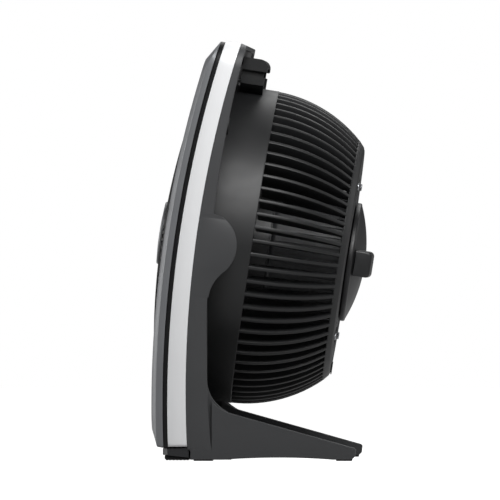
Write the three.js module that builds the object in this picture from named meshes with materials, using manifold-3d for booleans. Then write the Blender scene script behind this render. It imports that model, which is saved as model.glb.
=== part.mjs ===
// Air circulator fan: a squarish head that tilts on a two-legged base.
// Millimetres, +Z up, the front faces -Y. The origin is the middle of the floor footprint.
// Head pieces are drawn in the head's own frame: the fan axis is its Y axis, air leaves
// towards -Y, and y = 0 is the face of the rear ring. Base pieces are drawn in the stand's
// frame: y = 0 at the tilt pivot and z = 0 on the floor.

import * as THREE from 'three';
import Module from 'manifold-3d';
import { mergeVertices } from 'three/addons/utils/BufferGeometryUtils.js';

const wasm = await Module();
wasm.setup();

// Whole head
const fanWidth = 388;
const frameTop = fanWidth / 2 + 2.5;
const stripLift = 13.8;
const frameLift = 12.8;
const topCorner = 24;
const bottomCorner = 3;
const restTilt = 8.8;
const pivotHeight = fanWidth / 2 + 6.9;
const pivotForward = 118.7;
const pivotDrop = 12.8;
const gap = 0.3;

// Arches that the front pieces follow, seen from the side: nearest point and radius
const stripFront = { y: -162.9, z: 9, radius: 1141 };
const stripRear = { y: -146.5, z: 19.1, radius: 1112 };
const plateFront = { y: -178.1, z: 2.2, radius: 1128 };
const panelRear = { y: -133.8, z: 69, radius: 1100 };

// Face plate, strip and front frame
const stripThick = 2;
const stripProud = 1.5;
const bezelDepth = 4.4;
const frameWall = 3;
const facetRise = 7.2;
const sideFacetInset = 2.2;
const sideBevelInset = 10.5;
const topFacetInset = 9;
const topBevelInset = 20;
const topFacetRise = 5.2;
const bottomFacetInset = 1;
const bottomFacetRise = 6.1;
const bottomBevelInset = 16.6;
const mouthMargin = 28;
const openingRadius = fanWidth / 2 - mouthMargin;
const lipWidth = 9;
const lipRadius = openingRadius - lipWidth;
const lipFront = -159.8;
const lipRear = -147;
const seatWidth = 1.2;

// Front grille
const grilleRim = 7.5;
const grilleDome = 19.6;
const grilleRimFront = -166;
const grilleRimDepth = 5.6;
const spokeCount = 22;
const spokeThick = 2.2;
const spokeDepth = 4;
const spokeSwirl = 52;
const midRingInset = 62;
const midRingRadius = openingRadius - midRingInset;
const grilleHub = 34;
const capRadius = 31;
const capThick = 3;

// Rear frame with its ears
const panelThick = 4.6;
const closureThick = 3;
const earY = -139.6;
const earZ = -5.2;
const earRadius = 34;
const earTopAngle = 62;
const earBlendAngle = -44.1;
const earBlendRadius = 37.4;

// Rear grille: a smooth shroud, then fins that follow a round bowl to the rear ring
const shroudRadius = lipRadius - 0.8;
const shroudWall = 3.2;
const slotFront = -92;
const bowlCentreY = -97;
const bowlRadius = 133;
const finCount = 72;
const finThick = 3.4;
const finDepth = 21;
const finDepthRear = 6;
const finDeepTo = -40;
const finSunk = 0.8;
const bowlSides = 36;
const ringDepth = 7;
const ringInset = 57.7;
const ringInner = shroudRadius - ringInset;
const bossRadius = 10.5;
const lugRadius = 7.5;
const lugOut = openingRadius - 3;
const lugThick = 4.6;

// Motor bucket and its intake plate
const drumRadius = 62;
const drumWall = 2.6;
const drumFront = -77;
const bucketRim = 12;
const intakeBars = 24;
const intakeSides = 30;
const intakeBarThick = 3;
const intakeDepth = 4.5;
const collarWide = 3.4;
const collarThick = 2.6;
const rimClear = 1;
const rimThick = 2.4;
const rimLong = 5;

// Motor, shaft and bearings
const statorRadius = 46;
const statorDepth = 26;
const coilDepth = 9;
const bracketThick = 3;
const bearingRadius = 9;
const bearingDepth = 8;
const shaftRadius = 4;
const rotorRadius = 22;
const motorBolt = 2;
const boltCircle = 38;

// Impeller
const bladeCount = 5;
const bladeClear = 10;
const bladeTip = shroudRadius - shroudWall - bladeClear;
const hubRadius = 60;
const hubFront = -136;
const hubRear = drumFront - 1.2;
const hubWall = 2.5;
const bladeThick = 2.6;
const bladeMid = -114;
const rootPitch = 34;
const tipPitch = 20;
const bladeArcRoot = 40;
const bladeArcTip = 56;
const bladeSweep = 18;
const nutRadius = 8;
const nutDepth = 6;

// Control cover and knob
const coverRadius = 59;
const coverEdge = 6;
const coverDome = 11.5;
const coverWall = 2.6;
const stemRadius = 3;
const barLength = 108;
const barHeight = 26;
const barRear = 24.6;
const barClear = 1.2;
const bushingRadius = 4.3;
const switchSize = 26;
const switchDepth = 13;

// Carry handle
const handleHalf = 60;
const handleTop = frameTop - 12;
const handleBar = 8.5;
const handleEnd = 12;
const handleRear = -105.8;
const handleRound = 8;
const bracketHalf = 50;
const bracketWide = 9;
const footTop = handleTop - 17.5;
const footBottom = footTop - 37;
const footWide = 18;
const footStep = 1.7;
const footLow = 9;
const footSlope = 28.6;

// Screws
const screwRadius = 1.8;
const screwClear = 0.35;
const screwHead = 3.6;
const headDepth = 2;

// Base, in the stand's frame
const legWide = 24.5;
const legFront = -31.2;
const seamY = -10.4;
const toeTop = 11.4;
const legTipY = 130.9;
const legTipTop = 12.2;
const legSlope = 15.7;
const legCurve = 38;
const legCurveEnd = 8.9;
const soleLift = 1.2;
const archLift = 5.4;
const armThick = 12.9;
const armWide = 11.9;
const armShy = 1.2;
const hubOuter = 10.8;
const pinRadius = 6;
const pinHead = 8.4;
const pinHeadDepth = 2.4;
const washerThick = 1.3;
const padThick = 3.6;
const padWide = 20;
const rearPadY = 111.7;
const rearPadLong = 15.7;
const frontPadY = -28;
const frontPadLong = 19;
const barTop = 18;
const barBack = 8;
const tongueLong = 8.5;
const chinHalf = 190.5;
const chinFacet = 5;
const chinFront = -58.4;
const chinRear = -32.6;
const chinLowFront = 6;
const chinLowRear = 3.2;
const bumperLift = 0.5;
const bumperInset = 2;

const rad = Math.PI / 180;
const tiltSin = Math.sin(restTilt * rad);
const tiltCos = Math.cos(restTilt * rad);
const stripHalf = fanWidth / 2;
const panelHalf = stripHalf - stripProud;
const panelTop = frameTop - stripProud;
const panelInner = panelHalf - panelThick;
const armOuter = panelInner - 0.6;
const armInner = armOuter - armThick;
const bossEnd = armInner - washerThick - 0.5;
const holeRadius = screwRadius + screwClear;
const bracketFront = drumFront + drumWall + gap;
const coilFront = bracketFront + bracketThick + gap;
const statorFront = coilFront + coilDepth + gap;
const statorRear = statorFront + statorDepth;
const coilRear = statorRear + gap;
const bracketRear = coilRear + coilDepth + gap;

// ---- Helpers ----

// A three.js geometry as a solid, with its faces turned outwards.
function solid(geometry) {
  const bare = geometry.clone();
  bare.deleteAttribute('normal');
  bare.deleteAttribute('uv');
  const merged = mergeVertices(bare, 1e-4);
  const points = merged.attributes.position.array;
  const corners = [];
  let volume = 0;
  for (let i = 0; i < merged.index.count; i += 3) {
    const [a, b, c] = [0, 1, 2].map((k) => merged.index.getX(i + k));
    if (a === b || b === c || c === a) continue;
    corners.push(a, b, c);
    const [p, q, r] = [a, b, c].map((k) => new THREE.Vector3().fromArray(points, 3 * k));
    volume += p.dot(q.cross(r));
  }
  if (volume < 0) {
    for (let i = 0; i < corners.length; i += 3) {
      [corners[i], corners[i + 1]] = [corners[i + 1], corners[i]];
    }
  }
  const vertProperties = new Float32Array(points);
  const triVerts = new Uint32Array(corners);
  return new wasm.Manifold(new wasm.Mesh({ numProp: 3, vertProperties, triVerts }));
}

function geometryOf(body) {
  const mesh = body.getMesh();
  const geometry = new THREE.BufferGeometry();
  geometry.setAttribute('position', new THREE.BufferAttribute(mesh.vertProperties, 3));
  geometry.setIndex(new THREE.BufferAttribute(mesh.triVerts, 1));
  return geometry;
}

function join(...bodies) {
  return bodies.reduce((whole, body) => whole.add(body));
}

function cut(body, ...tools) {
  return tools.reduce((whole, tool) => whole.subtract(tool), body);
}

function box(x0, x1, y0, y1, z0, z1) {
  const geometry = new THREE.BoxGeometry(x1 - x0, y1 - y0, z1 - z0);
  return solid(geometry.translate((x0 + x1) / 2, (y0 + y1) / 2, (z0 + z1) / 2));
}

// A cylinder along Y, from y0 to y1.
function rod(radius, y0, y1, x = 0, z = 0, sides = 24) {
  const geometry = new THREE.CylinderGeometry(radius, radius, y1 - y0, sides);
  return solid(geometry.translate(x, (y0 + y1) / 2, z));
}

// A cylinder along X, from x0 to x1.
function crossRod(radius, x0, x1, y, z, sides = 18) {
  const geometry = new THREE.CylinderGeometry(radius, radius, x1 - x0, sides);
  return solid(geometry.rotateZ(Math.PI / 2).translate((x0 + x1) / 2, y, z));
}

// A cylinder along Z, from z0 to z1.
function upRod(radius, z0, z1, x, y, sides = 16) {
  const geometry = new THREE.CylinderGeometry(radius, radius, z1 - z0, sides);
  return solid(geometry.rotateX(Math.PI / 2).translate(x, y, (z0 + z1) / 2));
}

// A profile of [radius, y] pairs turned round the fan axis.
function turned(profile, sides = 48) {
  const points = profile.map(([radius, y]) => new THREE.Vector2(radius, y));
  return solid(new THREE.LatheGeometry(points, sides));
}

// A closed profile: its last point joins its first.
function turnedRing(profile, sides = 48) {
  return turned([...profile, profile[0]], sides);
}

// An outline in the side view, as (y, z), carried along X from x0 to x1.
function sidePrism(shape, x0, x1, curveSegments = 10) {
  const geometry = new THREE.ExtrudeGeometry(shape, {
    depth: x1 - x0,
    bevelEnabled: false,
    curveSegments,
  });
  const turn = new THREE.Matrix4().makeBasis(
    new THREE.Vector3(0, 1, 0),
    new THREE.Vector3(0, 0, 1),
    new THREE.Vector3(1, 0, 0),
  );
  return solid(geometry.applyMatrix4(turn).translate(x0, 0, 0));
}

function mirrored(body) {
  return body.mirror([1, 0, 0]);
}

// Where an arch lies at height z, in the side view.
function archAt(arch, z) {
  return arch.y + arch.radius - Math.sqrt(arch.radius ** 2 - (z - arch.z) ** 2);
}

function archPoints(arch, shift, fromZ, toZ, steps) {
  const points = [];
  for (let i = 0; i <= steps; i += 1) {
    const z = fromZ + ((toZ - fromZ) * i) / steps;
    points.push(new THREE.Vector2(archAt(arch, z) + shift, z));
  }
  return points;
}

const lowZ = -pivotHeight - 21.1;
const highZ = frameTop + 9.5;
const farFront = plateFront.y - 31.9;
const archSteps = 14;

// The space between two arches, right across the fan.
function archSlab(front, frontShift, rear, rearShift) {
  const points = archPoints(front, frontShift, lowZ, highZ, archSteps);
  points.push(...archPoints(rear, rearShift, highZ, lowZ, archSteps));
  return sidePrism(new THREE.Shape(points), -stripHalf - 10, stripHalf + 10);
}

// The height, in the head's frame, of a level plane `lift` above the floor at rest.
function levelZ(y, lift) {
  return (lift - pivotHeight + (y + pivotForward) * tiltSin) / tiltCos - pivotDrop;
}

// A place in the head's frame, given in the stand's frame at rest.
function standFrom(y, z) {
  const dy = y + pivotForward;
  const dz = z + pivotDrop;
  return [dy * tiltCos + dz * tiltSin, pivotHeight - dy * tiltSin + dz * tiltCos];
}

const sideSteps = 10;
const cornerSteps = 4;

// A rounded rectangle as a loop of [x, z, share of top or bottom]. Every loop has as many
// points, so that loops of other sizes match it point for point.
function frameLoop(half, top, bottom, topRound, bottomRound, steps = sideSteps) {
  const loop = [];
  const corner = (x, z, round, from) => {
    for (let i = 0; i < cornerSteps; i += 1) {
      const angle = (from + (90 * (i + 0.5)) / cornerSteps) * rad;
      const share = Math.abs(Math.sin(angle));
      loop.push([x + round * Math.cos(angle), z + round * Math.sin(angle), share]);
    }
  };
  const line = (x0, z0, x1, z1, share) => {
    for (let i = 0; i <= steps; i += 1) {
      const f = i / steps;
      loop.push([x0 + (x1 - x0) * f, z0 + (z1 - z0) * f, share]);
    }
  };
  line(half, bottom + bottomRound, half, top - topRound, 0);
  corner(half - topRound, top - topRound, topRound, 0);
  line(half - topRound, top, topRound - half, top, 1);
  corner(topRound - half, top - topRound, topRound, 90);
  line(-half, top - topRound, -half, bottom + bottomRound, 0);
  corner(bottomRound - half, bottom + bottomRound, bottomRound, 180);
  line(bottomRound - half, bottom, half - bottomRound, bottom, 1);
  corner(half - bottomRound, bottom + bottomRound, bottomRound, 270);
  return loop;
}

// A skin through loops of [x, y, z] points: closed round, or capped at its two ends.
function skin(loops, closed) {
  const count = loops[0].length;
  const positions = loops.flat(2);
  const index = [];
  const rounds = closed ? loops.length : loops.length - 1;
  for (let i = 0; i < rounds; i += 1) {
    const next = (i + 1) % loops.length;
    for (let j = 0; j < count; j += 1) {
      const k = (j + 1) % count;
      const [a, b] = [i * count + j, i * count + k];
      const [c, d] = [next * count + j, next * count + k];
      index.push(a, b, d, a, d, c);
    }
  }
  if (!closed) {
    const last = (loops.length - 1) * count;
    for (let j = 1; j < count - 1; j += 1) {
      index.push(0, j + 1, j);
      index.push(last, last + j, last + j + 1);
    }
  }
  const geometry = new THREE.BufferGeometry();
  geometry.setAttribute('position', new THREE.Float32BufferAttribute(positions, 3));
  geometry.setIndex(index);
  return solid(geometry);
}

// The frame's outline carried along the fan axis. Its bottom stays level at rest.
function frameBlock(inset, lift) {
  const loops = [-200, -85].map((y) => {
    const loop = frameLoop(
      stripHalf - inset,
      frameTop - inset,
      levelZ(y, lift),
      topCorner - inset,
      bottomCorner,
      1,
    );
    return loop.map(([x, z]) => [x, y, z]);
  });
  return skin(loops, false);
}

// ---- Front of the head ----

function makeFrontFrame() {
  const inset = stripThick + gap;
  const bezel = frameBlock(stripProud, frameLift)
    .intersect(archSlab(stripFront, -bezelDepth, stripFront, -gap));
  const core = frameBlock(inset, stripLift + inset)
    .intersect(archSlab(stripFront, -bezelDepth, stripRear, 0));
  const mouth = rod(openingRadius - 0.6, farFront, lipFront + 0.5, 0, 0, 60);
  const bore = rod(openingRadius - 1 - seatWidth, farFront, -90, 0, 0, 60);
  const lip = turnedRing([
    [lipRadius, lipFront],
    [openingRadius - 1, lipFront],
    [openingRadius - 1, lipRear],
    [lipRadius, lipRear],
  ], 60);
  const hollow = frameBlock(inset + frameWall, stripLift + inset + frameWall)
    .intersect(archSlab(stripFront, frameWall, stripRear, 5))
    .subtract(rod(openingRadius + frameWall + 4, farFront, -90, 0, 0, 48));
  const body = join(cut(join(bezel, core), mouth, bore, hollow), lip);
  return cut(body, ...grilleScrewPlaces().map(([x, z]) => (
    rod(holeRadius, lipFront - 1, lipFront + 8, x, z, 12)
  )));
}

function makeTrimStrip() {
  const ring = frameBlock(0, stripLift).subtract(frameBlock(stripThick, stripLift + stripThick));
  return ring.intersect(archSlab(stripFront, 0, stripRear, 0));
}

function makeFacePlate() {
  const sillY = archAt(stripFront, -frameTop - 9.5) - bezelDepth;
  const sill = levelZ(sillY, frameLift);
  const back = frameLoop(panelHalf, panelTop, sill, topCorner - 1, bottomCorner);
  const depth = archAt(stripFront, 0) - bezelDepth - archAt(plateFront, 0);
  const rise = (share, side, ends) => side + (ends - side) * share;
  const ringAt = (insets, forward) => {
    const [side, top, bottom] = insets;
    const loop = frameLoop(
      panelHalf - side,
      panelTop - top,
      sill + bottom,
      topCorner - 1 - side,
      Math.max(bottomCorner - side, 2),
    );
    return loop.map(([x, z, share]) => {
      const start = archAt(stripFront, z) - bezelDepth;
      const end = archAt(plateFront, z);
      return [x, start + (end - start) * forward(share, z), z];
    });
  };
  const outer = [ringAt([0, 0, 0], () => -1), ringAt([0, 0, 0], () => 0)];
  const facet = ringAt(
    [sideFacetInset, topFacetInset, bottomFacetInset],
    (share, z) => rise(share, facetRise, z > 0 ? topFacetRise : bottomFacetRise) / depth,
  );
  const front = ringAt([sideBevelInset, topBevelInset, bottomBevelInset], () => 1);
  const round = back.map(([x, z]) => {
    const reach = Math.hypot(x, z);
    return [(x * openingRadius) / reach, (z * openingRadius) / reach];
  });
  const mouth = round.map(([x, z]) => [x, archAt(plateFront, z), z]);
  const mouthBack = round.map(([x, z]) => [x, archAt(stripFront, z) + bezelDepth, z]);
  const whole = skin([...outer, facet, front, mouth, mouthBack], true);
  return whole.intersect(archSlab(stripFront, -60, stripFront, -bezelDepth - gap));
}

const domeRadius = ((openingRadius - 1) ** 2 + grilleDome ** 2) / (2 * grilleDome);

// Front surface of the grille at a distance from the axis.
function domeY(radius) {
  return grilleRimFront - grilleDome + domeRadius - Math.sqrt(domeRadius ** 2 - radius ** 2);
}

function grilleScrewPlaces() {
  const reach = openingRadius - 1 - grilleRim / 2;
  return [45, 135, 225, 315].map((angle) => (
    [reach * Math.cos(angle * rad), reach * Math.sin(angle * rad)]
  ));
}

function makeSpoke(turn) {
  const loops = [];
  const inner = grilleHub - 1;
  const outer = openingRadius - 3 - grilleRim / 2;
  const steps = 3;
  for (let i = 0; i <= steps; i += 1) {
    const f = i / steps;
    const radius = inner + (outer - inner) * f;
    const angle = turn + spokeSwirl * rad * f * f;
    const half = spokeThick / 2 / radius;
    const y = domeY(radius);
    const at = (side, depth) => {
      const a = angle + side * half;
      return [radius * Math.cos(a), y + depth, radius * Math.sin(a)];
    };
    loops.push([at(-1, 0), at(1, 0), at(1, spokeDepth), at(-1, spokeDepth)]);
  }
  return skin(loops, false);
}

function makeFrontGrille() {
  const rimOuter = openingRadius - 1;
  const rimInner = rimOuter - grilleRim;
  const rimRear = grilleRimFront + grilleRimDepth;
  const rim = turnedRing([
    [rimInner, domeY(rimInner)],
    [rimOuter, grilleRimFront],
    [rimOuter, rimRear],
    [rimInner, rimRear],
  ], 48);
  const ringY = domeY(midRingRadius);
  const ring = turnedRing([
    [midRingRadius - 2, ringY],
    [midRingRadius + 2, ringY],
    [midRingRadius + 2, ringY + spokeDepth],
    [midRingRadius - 2, ringY + spokeDepth],
  ], 36);
  const hubY = domeY(grilleHub);
  const hub = turned([
    [0, hubY + 1.2],
    [grilleHub - 2, hubY + 1.2],
    [grilleHub - 2, hubY],
    [grilleHub, hubY],
    [grilleHub, hubY + spokeDepth + 1],
    [0, hubY + spokeDepth + 1],
  ], 24);
  const spokes = [];
  for (let i = 0; i < spokeCount; i += 1) spokes.push(makeSpoke((2 * Math.PI * i) / spokeCount));
  const whole = join(rim, ring, hub, ...spokes);
  return cut(whole, ...grilleScrewPlaces().flatMap(([x, z]) => [
    rod(holeRadius, -190, rimRear + 1, x, z, 12),
    rod(screwHead + screwClear, -190, grilleRimFront + 2.6, x, z, 16),
  ]));
}

function makeGrilleCap() {
  const back = domeY(grilleHub) + 1.2 - gap;
  const front = back - capThick;
  return turned([
    [0, front - 1.6],
    [capRadius * 0.5, front - 1.2],
    [capRadius - 2, front],
    [capRadius, front + 1.4],
    [capRadius, back],
    [0, back],
  ], 24);
}

// ---- Rear frame ----

function earOutline() {
  const blend = earBlendAngle * rad;
  const blendY = earY + (earRadius + earBlendRadius) * Math.cos(blend);
  const blendZ = earZ + (earRadius + earBlendRadius) * Math.sin(blend);
  return { blendY, blendZ };
}

function makeRearFrame() {
  const { blendY, blendZ } = earOutline();
  const start = earTopAngle * rad;
  const earTop = earZ + earRadius * Math.sin(start);
  const shape = new THREE.Shape(archPoints(stripRear, gap, lowZ, highZ, archSteps));
  archPoints(panelRear, 0, highZ, earTop + 2, 12).forEach((p) => shape.lineTo(p.x, p.y));
  shape.absarc(earY, earZ, earRadius, start, earBlendAngle * rad, true);
  const finish = Math.PI + 0.05;
  shape.absarc(blendY, blendZ, earBlendRadius, Math.PI + earBlendAngle * rad, finish, false);
  const lowStart = blendZ + earBlendRadius * Math.sin(finish) - 2;
  archPoints(panelRear, 0, lowStart, lowZ, 10).forEach((p) => shape.lineTo(p.x, p.y));
  const outer = frameBlock(stripProud, frameLift);
  const inner = frameBlock(stripProud + panelThick, frameLift - 30);
  const walls = outer.subtract(inner)
    .intersect(sidePrism(shape, -stripHalf, stripHalf, 8));
  const closure = outer.intersect(archSlab(stripRear, gap, stripRear, gap + closureThick));
  const hole = rod(shroudRadius + 0.8, farFront, -90, 0, 0, 60);
  const holes = lugPlaces().map(([x, z]) => rod(holeRadius, -160, -120, x, z, 12));
  const handleHoles = [-1, 1].map((side) => (
    rod(holeRadius, -160, -125, side * handleScrewX, handleScrewZ, 12)
  ));
  return cut(join(walls, closure), hole, ...holes, ...handleHoles);
}

// ---- Rear grille ----

function bowlAt(y) {
  const centre = shroudRadius - bowlRadius;
  return centre + Math.sqrt(bowlRadius ** 2 - (y - bowlCentreY) ** 2);
}

function lugPlaces() {
  return [45, 135, 225, 315].map((angle) => (
    [lugOut * Math.cos(angle * rad), lugOut * Math.sin(angle * rad)]
  ));
}

// The plane that a lug seats on: clear of the rear frame's closing wall.
function lugFace(z) {
  const ends = [z - lugRadius, z + lugRadius].map((edge) => archAt(stripRear, edge));
  return Math.max(...ends) + closureThick + 2 * gap;
}

function makeFin() {
  const from = slotFront - 3;
  const to = -ringDepth + 2.5;
  const steps = 3;
  const outer = [];
  for (let i = 0; i <= steps; i += 1) {
    const y = from + ((to - from) * i) / steps;
    outer.push(new THREE.Vector2(bowlAt(y) - finSunk, y));
  }
  const depths = [
    [to, finDepthRear],
    [finDeepTo, finDepth],
    [slotFront + 0.4, finDepth],
    [from, shroudWall - 2 * finSunk],
  ];
  const inner = depths.map(([y, depth]) => new THREE.Vector2(bowlAt(y) - depth, y));
  const geometry = new THREE.ExtrudeGeometry(new THREE.Shape([...outer, ...inner]), {
    depth: finThick,
    bevelEnabled: false,
  });
  return geometry.translate(0, 0, -finThick / 2);
}

function makeRearGrille() {
  const shroudInner = shroudRadius - shroudWall;
  const shroud = turnedRing([
    [shroudInner, lipRear + gap],
    [shroudRadius, lipRear + gap],
    [shroudRadius, slotFront],
    [shroudInner, slotFront],
  ], bowlSides);
  const ring = turnedRing([
    [ringInner, 0],
    [bowlAt(0), 0],
    [bowlAt(-ringDepth / 2), -ringDepth / 2],
    [bowlAt(-ringDepth), -ringDepth],
    [bowlAt(-ringDepth) - finDepthRear - 2, -ringDepth],
    [ringInner, -intakeDepth - 1],
  ], bowlSides);
  const fin = makeFin();
  const fins = [];
  for (let i = 0; i < finCount; i += 1) {
    fins.push(solid(fin.clone().rotateY((2 * Math.PI * (i + 0.5)) / finCount)));
  }
  const boss = crossRod(bossRadius, shroudInner - 10, bossEnd, -pivotForward, -pivotDrop);
  const bossHole = crossRod(
    pinRadius + gap,
    shroudRadius,
    bossEnd + 5,
    -pivotForward,
    -pivotDrop,
  );
  const lugs = lugPlaces().map(([x, z]) => {
    const face = lugFace(z);
    const web = new THREE.BoxGeometry(lugOut - shroudInner, lugThick, 2 * lugRadius - 2);
    web.translate((lugOut + shroudInner) / 2, face + lugThick / 2, 0);
    const lug = rod(lugRadius, face, face + lugThick, x, z, 20);
    return join(lug, solid(web.rotateY(-Math.atan2(z, x))));
  });
  const bore = rod(shroudInner, -200, slotFront - 3.5, 0, 0, bowlSides);
  const raised = cut(join(boss, mirrored(boss), ...lugs), bore);
  const lugHoles = lugPlaces().flatMap(([x, z]) => {
    const face = lugFace(z);
    return [
      rod(holeRadius, face - 1, face + lugThick + 1, x, z, 12),
      rod(screwHead + screwClear, face + lugThick - headDepth - gap, face + 20, x, z, 16),
    ];
  });
  const gland = rod(glandRadius + screwClear, -20, 5, 0, -glandOut, 16);
  const rimHoles = bucketScrewPlaces().map(([x, z]) => rod(holeRadius, -20, 5, x, z, 12));
  const whole = join(shroud, ring, ...fins, raised);
  return cut(whole, bossHole, mirrored(bossHole), ...lugHoles, gland, ...rimHoles);
}

const glandRadius = 4.6;
const glandOut = ringInner + 8;

function makeCordGland() {
  return turned([
    [0, -9],
    [glandRadius, -9],
    [glandRadius, gap],
    [glandRadius + 2, gap],
    [glandRadius + 1.6, 1.3],
    [0, 1.3],
  ], 16).translate([0, 0, -glandOut]);
}

// ---- Motor bucket ----

function bucketScrewPlaces() {
  const reach = (ringInner + bowlAt(0)) / 2 - 1;
  return [45, 135, 225, 315].map((angle) => (
    [reach * Math.cos(angle * rad), reach * Math.sin(angle * rad)]
  ));
}

function makeMotorBucket() {
  const inner = drumRadius - drumWall;
  const cup = turnedRing([
    [bearingRadius + 3, drumFront],
    [drumRadius - 4, drumFront],
    [drumRadius, drumFront + 4],
    [drumRadius, -intakeDepth - gap - collarThick],
    [drumRadius + collarWide, -intakeDepth - gap - collarThick],
    [drumRadius + collarWide, -intakeDepth - gap],
    [drumRadius, -intakeDepth - gap],
    [drumRadius, -gap],
    [coverRadius - coverWall - 2, -gap],
    [coverRadius - coverWall - 2, -3],
    [inner, -3],
    [inner, drumFront + drumWall],
    [bearingRadius + 3, drumFront + drumWall],
  ], intakeSides);
  const dustRim = hubRadius - hubWall - rimClear;
  const rim = turnedRing([
    [dustRim - rimThick, drumFront - rimLong],
    [dustRim, drumFront - rimLong],
    [dustRim, drumFront + 1],
    [dustRim - rimThick, drumFront + 1],
  ], intakeSides);
  const bolts = motorBoltPlaces().map(([x, z]) => (
    rod(motorBolt + screwClear, drumFront - 1, drumFront + 10, x, z, 12)
  ));
  return cut(join(cup, rim), ...bolts);
}

// The plate round the drum: an inner ring that the drum's collar bears on, bars and a rim.
function makeIntakePlate() {
  const rimOuter = ringInner - gap;
  const rimInner = rimOuter - bucketRim;
  const seat = turnedRing([
    [drumRadius + gap, -intakeDepth],
    [drumRadius + collarWide + 1, -intakeDepth],
    [drumRadius + collarWide + 1, -gap],
    [drumRadius + gap, -gap],
  ], intakeSides);
  const rim = turnedRing([
    [rimInner, -intakeDepth],
    [rimOuter, -intakeDepth],
    [rimOuter, -gap],
    [rimInner, -gap],
  ], bowlSides);
  const bars = [];
  for (let i = 0; i < intakeBars; i += 1) {
    const [from, to] = [drumRadius + collarWide, rimInner + 3];
    const bar = new THREE.BoxGeometry(to - from, intakeDepth - gap - 0.4, intakeBarThick);
    bar.translate((from + to) / 2, -intakeDepth / 2 - gap / 2, 0);
    bars.push(solid(bar.rotateY((2 * Math.PI * (i + 0.5)) / intakeBars)));
  }
  const tabs = bucketScrewPlaces().map(([x, z]) => {
    const angle = Math.atan2(z, x);
    const reach = Math.hypot(x, z);
    const from = rimOuter - 5;
    const tab = new THREE.BoxGeometry(reach + 5 - from, 2.6, 12);
    tab.translate((reach + 5 + from) / 2, -ringDepth - 1.8, 0);
    const leg = new THREE.BoxGeometry(4, ringDepth + 3.1 - intakeDepth, 12);
    leg.translate(from + 2, (-ringDepth - 3.1 - intakeDepth) / 2, 0);
    return join(solid(tab.rotateY(-angle)), solid(leg.rotateY(-angle)));
  });
  const tabHoles = bucketScrewPlaces().map(([x, z]) => rod(holeRadius, -20, 5, x, z, 12));
  return cut(join(seat, rim, ...bars, ...tabs), ...tabHoles);
}

// ---- Motor ----

function motorBoltPlaces() {
  return [0, 180].map((angle) => (
    [boltCircle * Math.cos(angle * rad), boltCircle * Math.sin(angle * rad)]
  ));
}

function makeStator() {
  const wide = statorRadius * 0.93;
  const tall = statorRadius * 0.78;
  const body = box(-wide, wide, statorFront, statorRear, -tall, tall);
  const round = rod(statorRadius, statorFront, statorRear, 0, 0, 40);
  const bore = rod(rotorRadius + 0.6, statorFront - 1, statorRear + 1, 0, 0, 28);
  const holes = motorBoltPlaces().map(([x, z]) => (
    rod(motorBolt + screwClear, statorFront - 1, statorRear + 1, x, z, 12)
  ));
  return cut(body.intersect(round), bore, ...holes);
}

// One coil stands out in front of the stator, the other behind it.
function makeCoil(y0, y1) {
  return turnedRing([
    [rotorRadius + 2, y0],
    [statorRadius * 0.72, y0],
    [statorRadius * 0.72, y1],
    [rotorRadius + 2, y1],
  ], 20);
}

// An end bracket: a bar across the stator with a cup for the bearing. It lies from y0 to y1,
// its cup reaches to cupY, and its posts stand on the stator at postY.
function makeBracket(y0, y1, cupY, postY) {
  const bar = box(-boltCircle - 5, boltCircle + 5, y0, y1, -8, 8);
  const [c0, c1] = [Math.min(y0, cupY), Math.max(y1, cupY)];
  const cup = rod(bearingRadius + 2.5, c0, c1, 0, 0, 16);
  const seat = rod(bearingRadius + 2 * gap, c0 - 1, c1 + 1, 0, 0, 16);
  const posts = motorBoltPlaces().map(([x, z]) => (
    rod(4.2, Math.min(y1 - 1, postY), Math.max(y0 + 1, postY), x, z, 10)
  ));
  const holes = motorBoltPlaces().map(([x, z]) => (
    rod(motorBolt + screwClear, -100, 0, x, z, 8)
  ));
  return cut(join(bar, cup, ...posts), seat, ...holes);
}

function makeBearing(y0) {
  return turnedRing([
    [shaftRadius + 0.3, y0],
    [bearingRadius, y0],
    [bearingRadius, y0 + bearingDepth],
    [shaftRadius + 0.3, y0 + bearingDepth],
  ], 16);
}

function makeMotorBolt(x, z) {
  const front = drumFront - headDepth - gap;
  const shank = rod(motorBolt, front, bracketRear + bracketThick + 2, x, z, 12);
  const head = rod(screwHead, front, drumFront - gap, x, z, 16);
  return join(shank, head);
}

// ---- Turning pieces ----

// One blade: radius along its length, an arc of a helix across it.
function makeBlade(turn) {
  const spans = 5;
  const chords = 3;
  const root = hubRadius - 3;
  const at = (u, v, side) => {
    const radius = root + (bladeTip - root) * u;
    const arc = (bladeArcRoot + (bladeArcTip - bladeArcRoot) * u) * rad;
    const pitch = rootPitch + (tipPitch - rootPitch) * u;
    const angle = turn + (v - 0.5) * arc + bladeSweep * rad * u * u;
    const y = bladeMid + (v - 0.5) * pitch + (side * bladeThick) / 2;
    return [radius * Math.cos(angle), y, radius * Math.sin(angle)];
  };
  const loops = [];
  for (let i = 0; i <= spans; i += 1) {
    const loop = [];
    for (let j = 0; j <= chords; j += 1) loop.push(at(i / spans, j / chords, -1));
    for (let j = chords; j >= 0; j -= 1) loop.push(at(i / spans, j / chords, 1));
    loops.push(loop);
  }
  return skin(loops, false);
}

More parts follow.
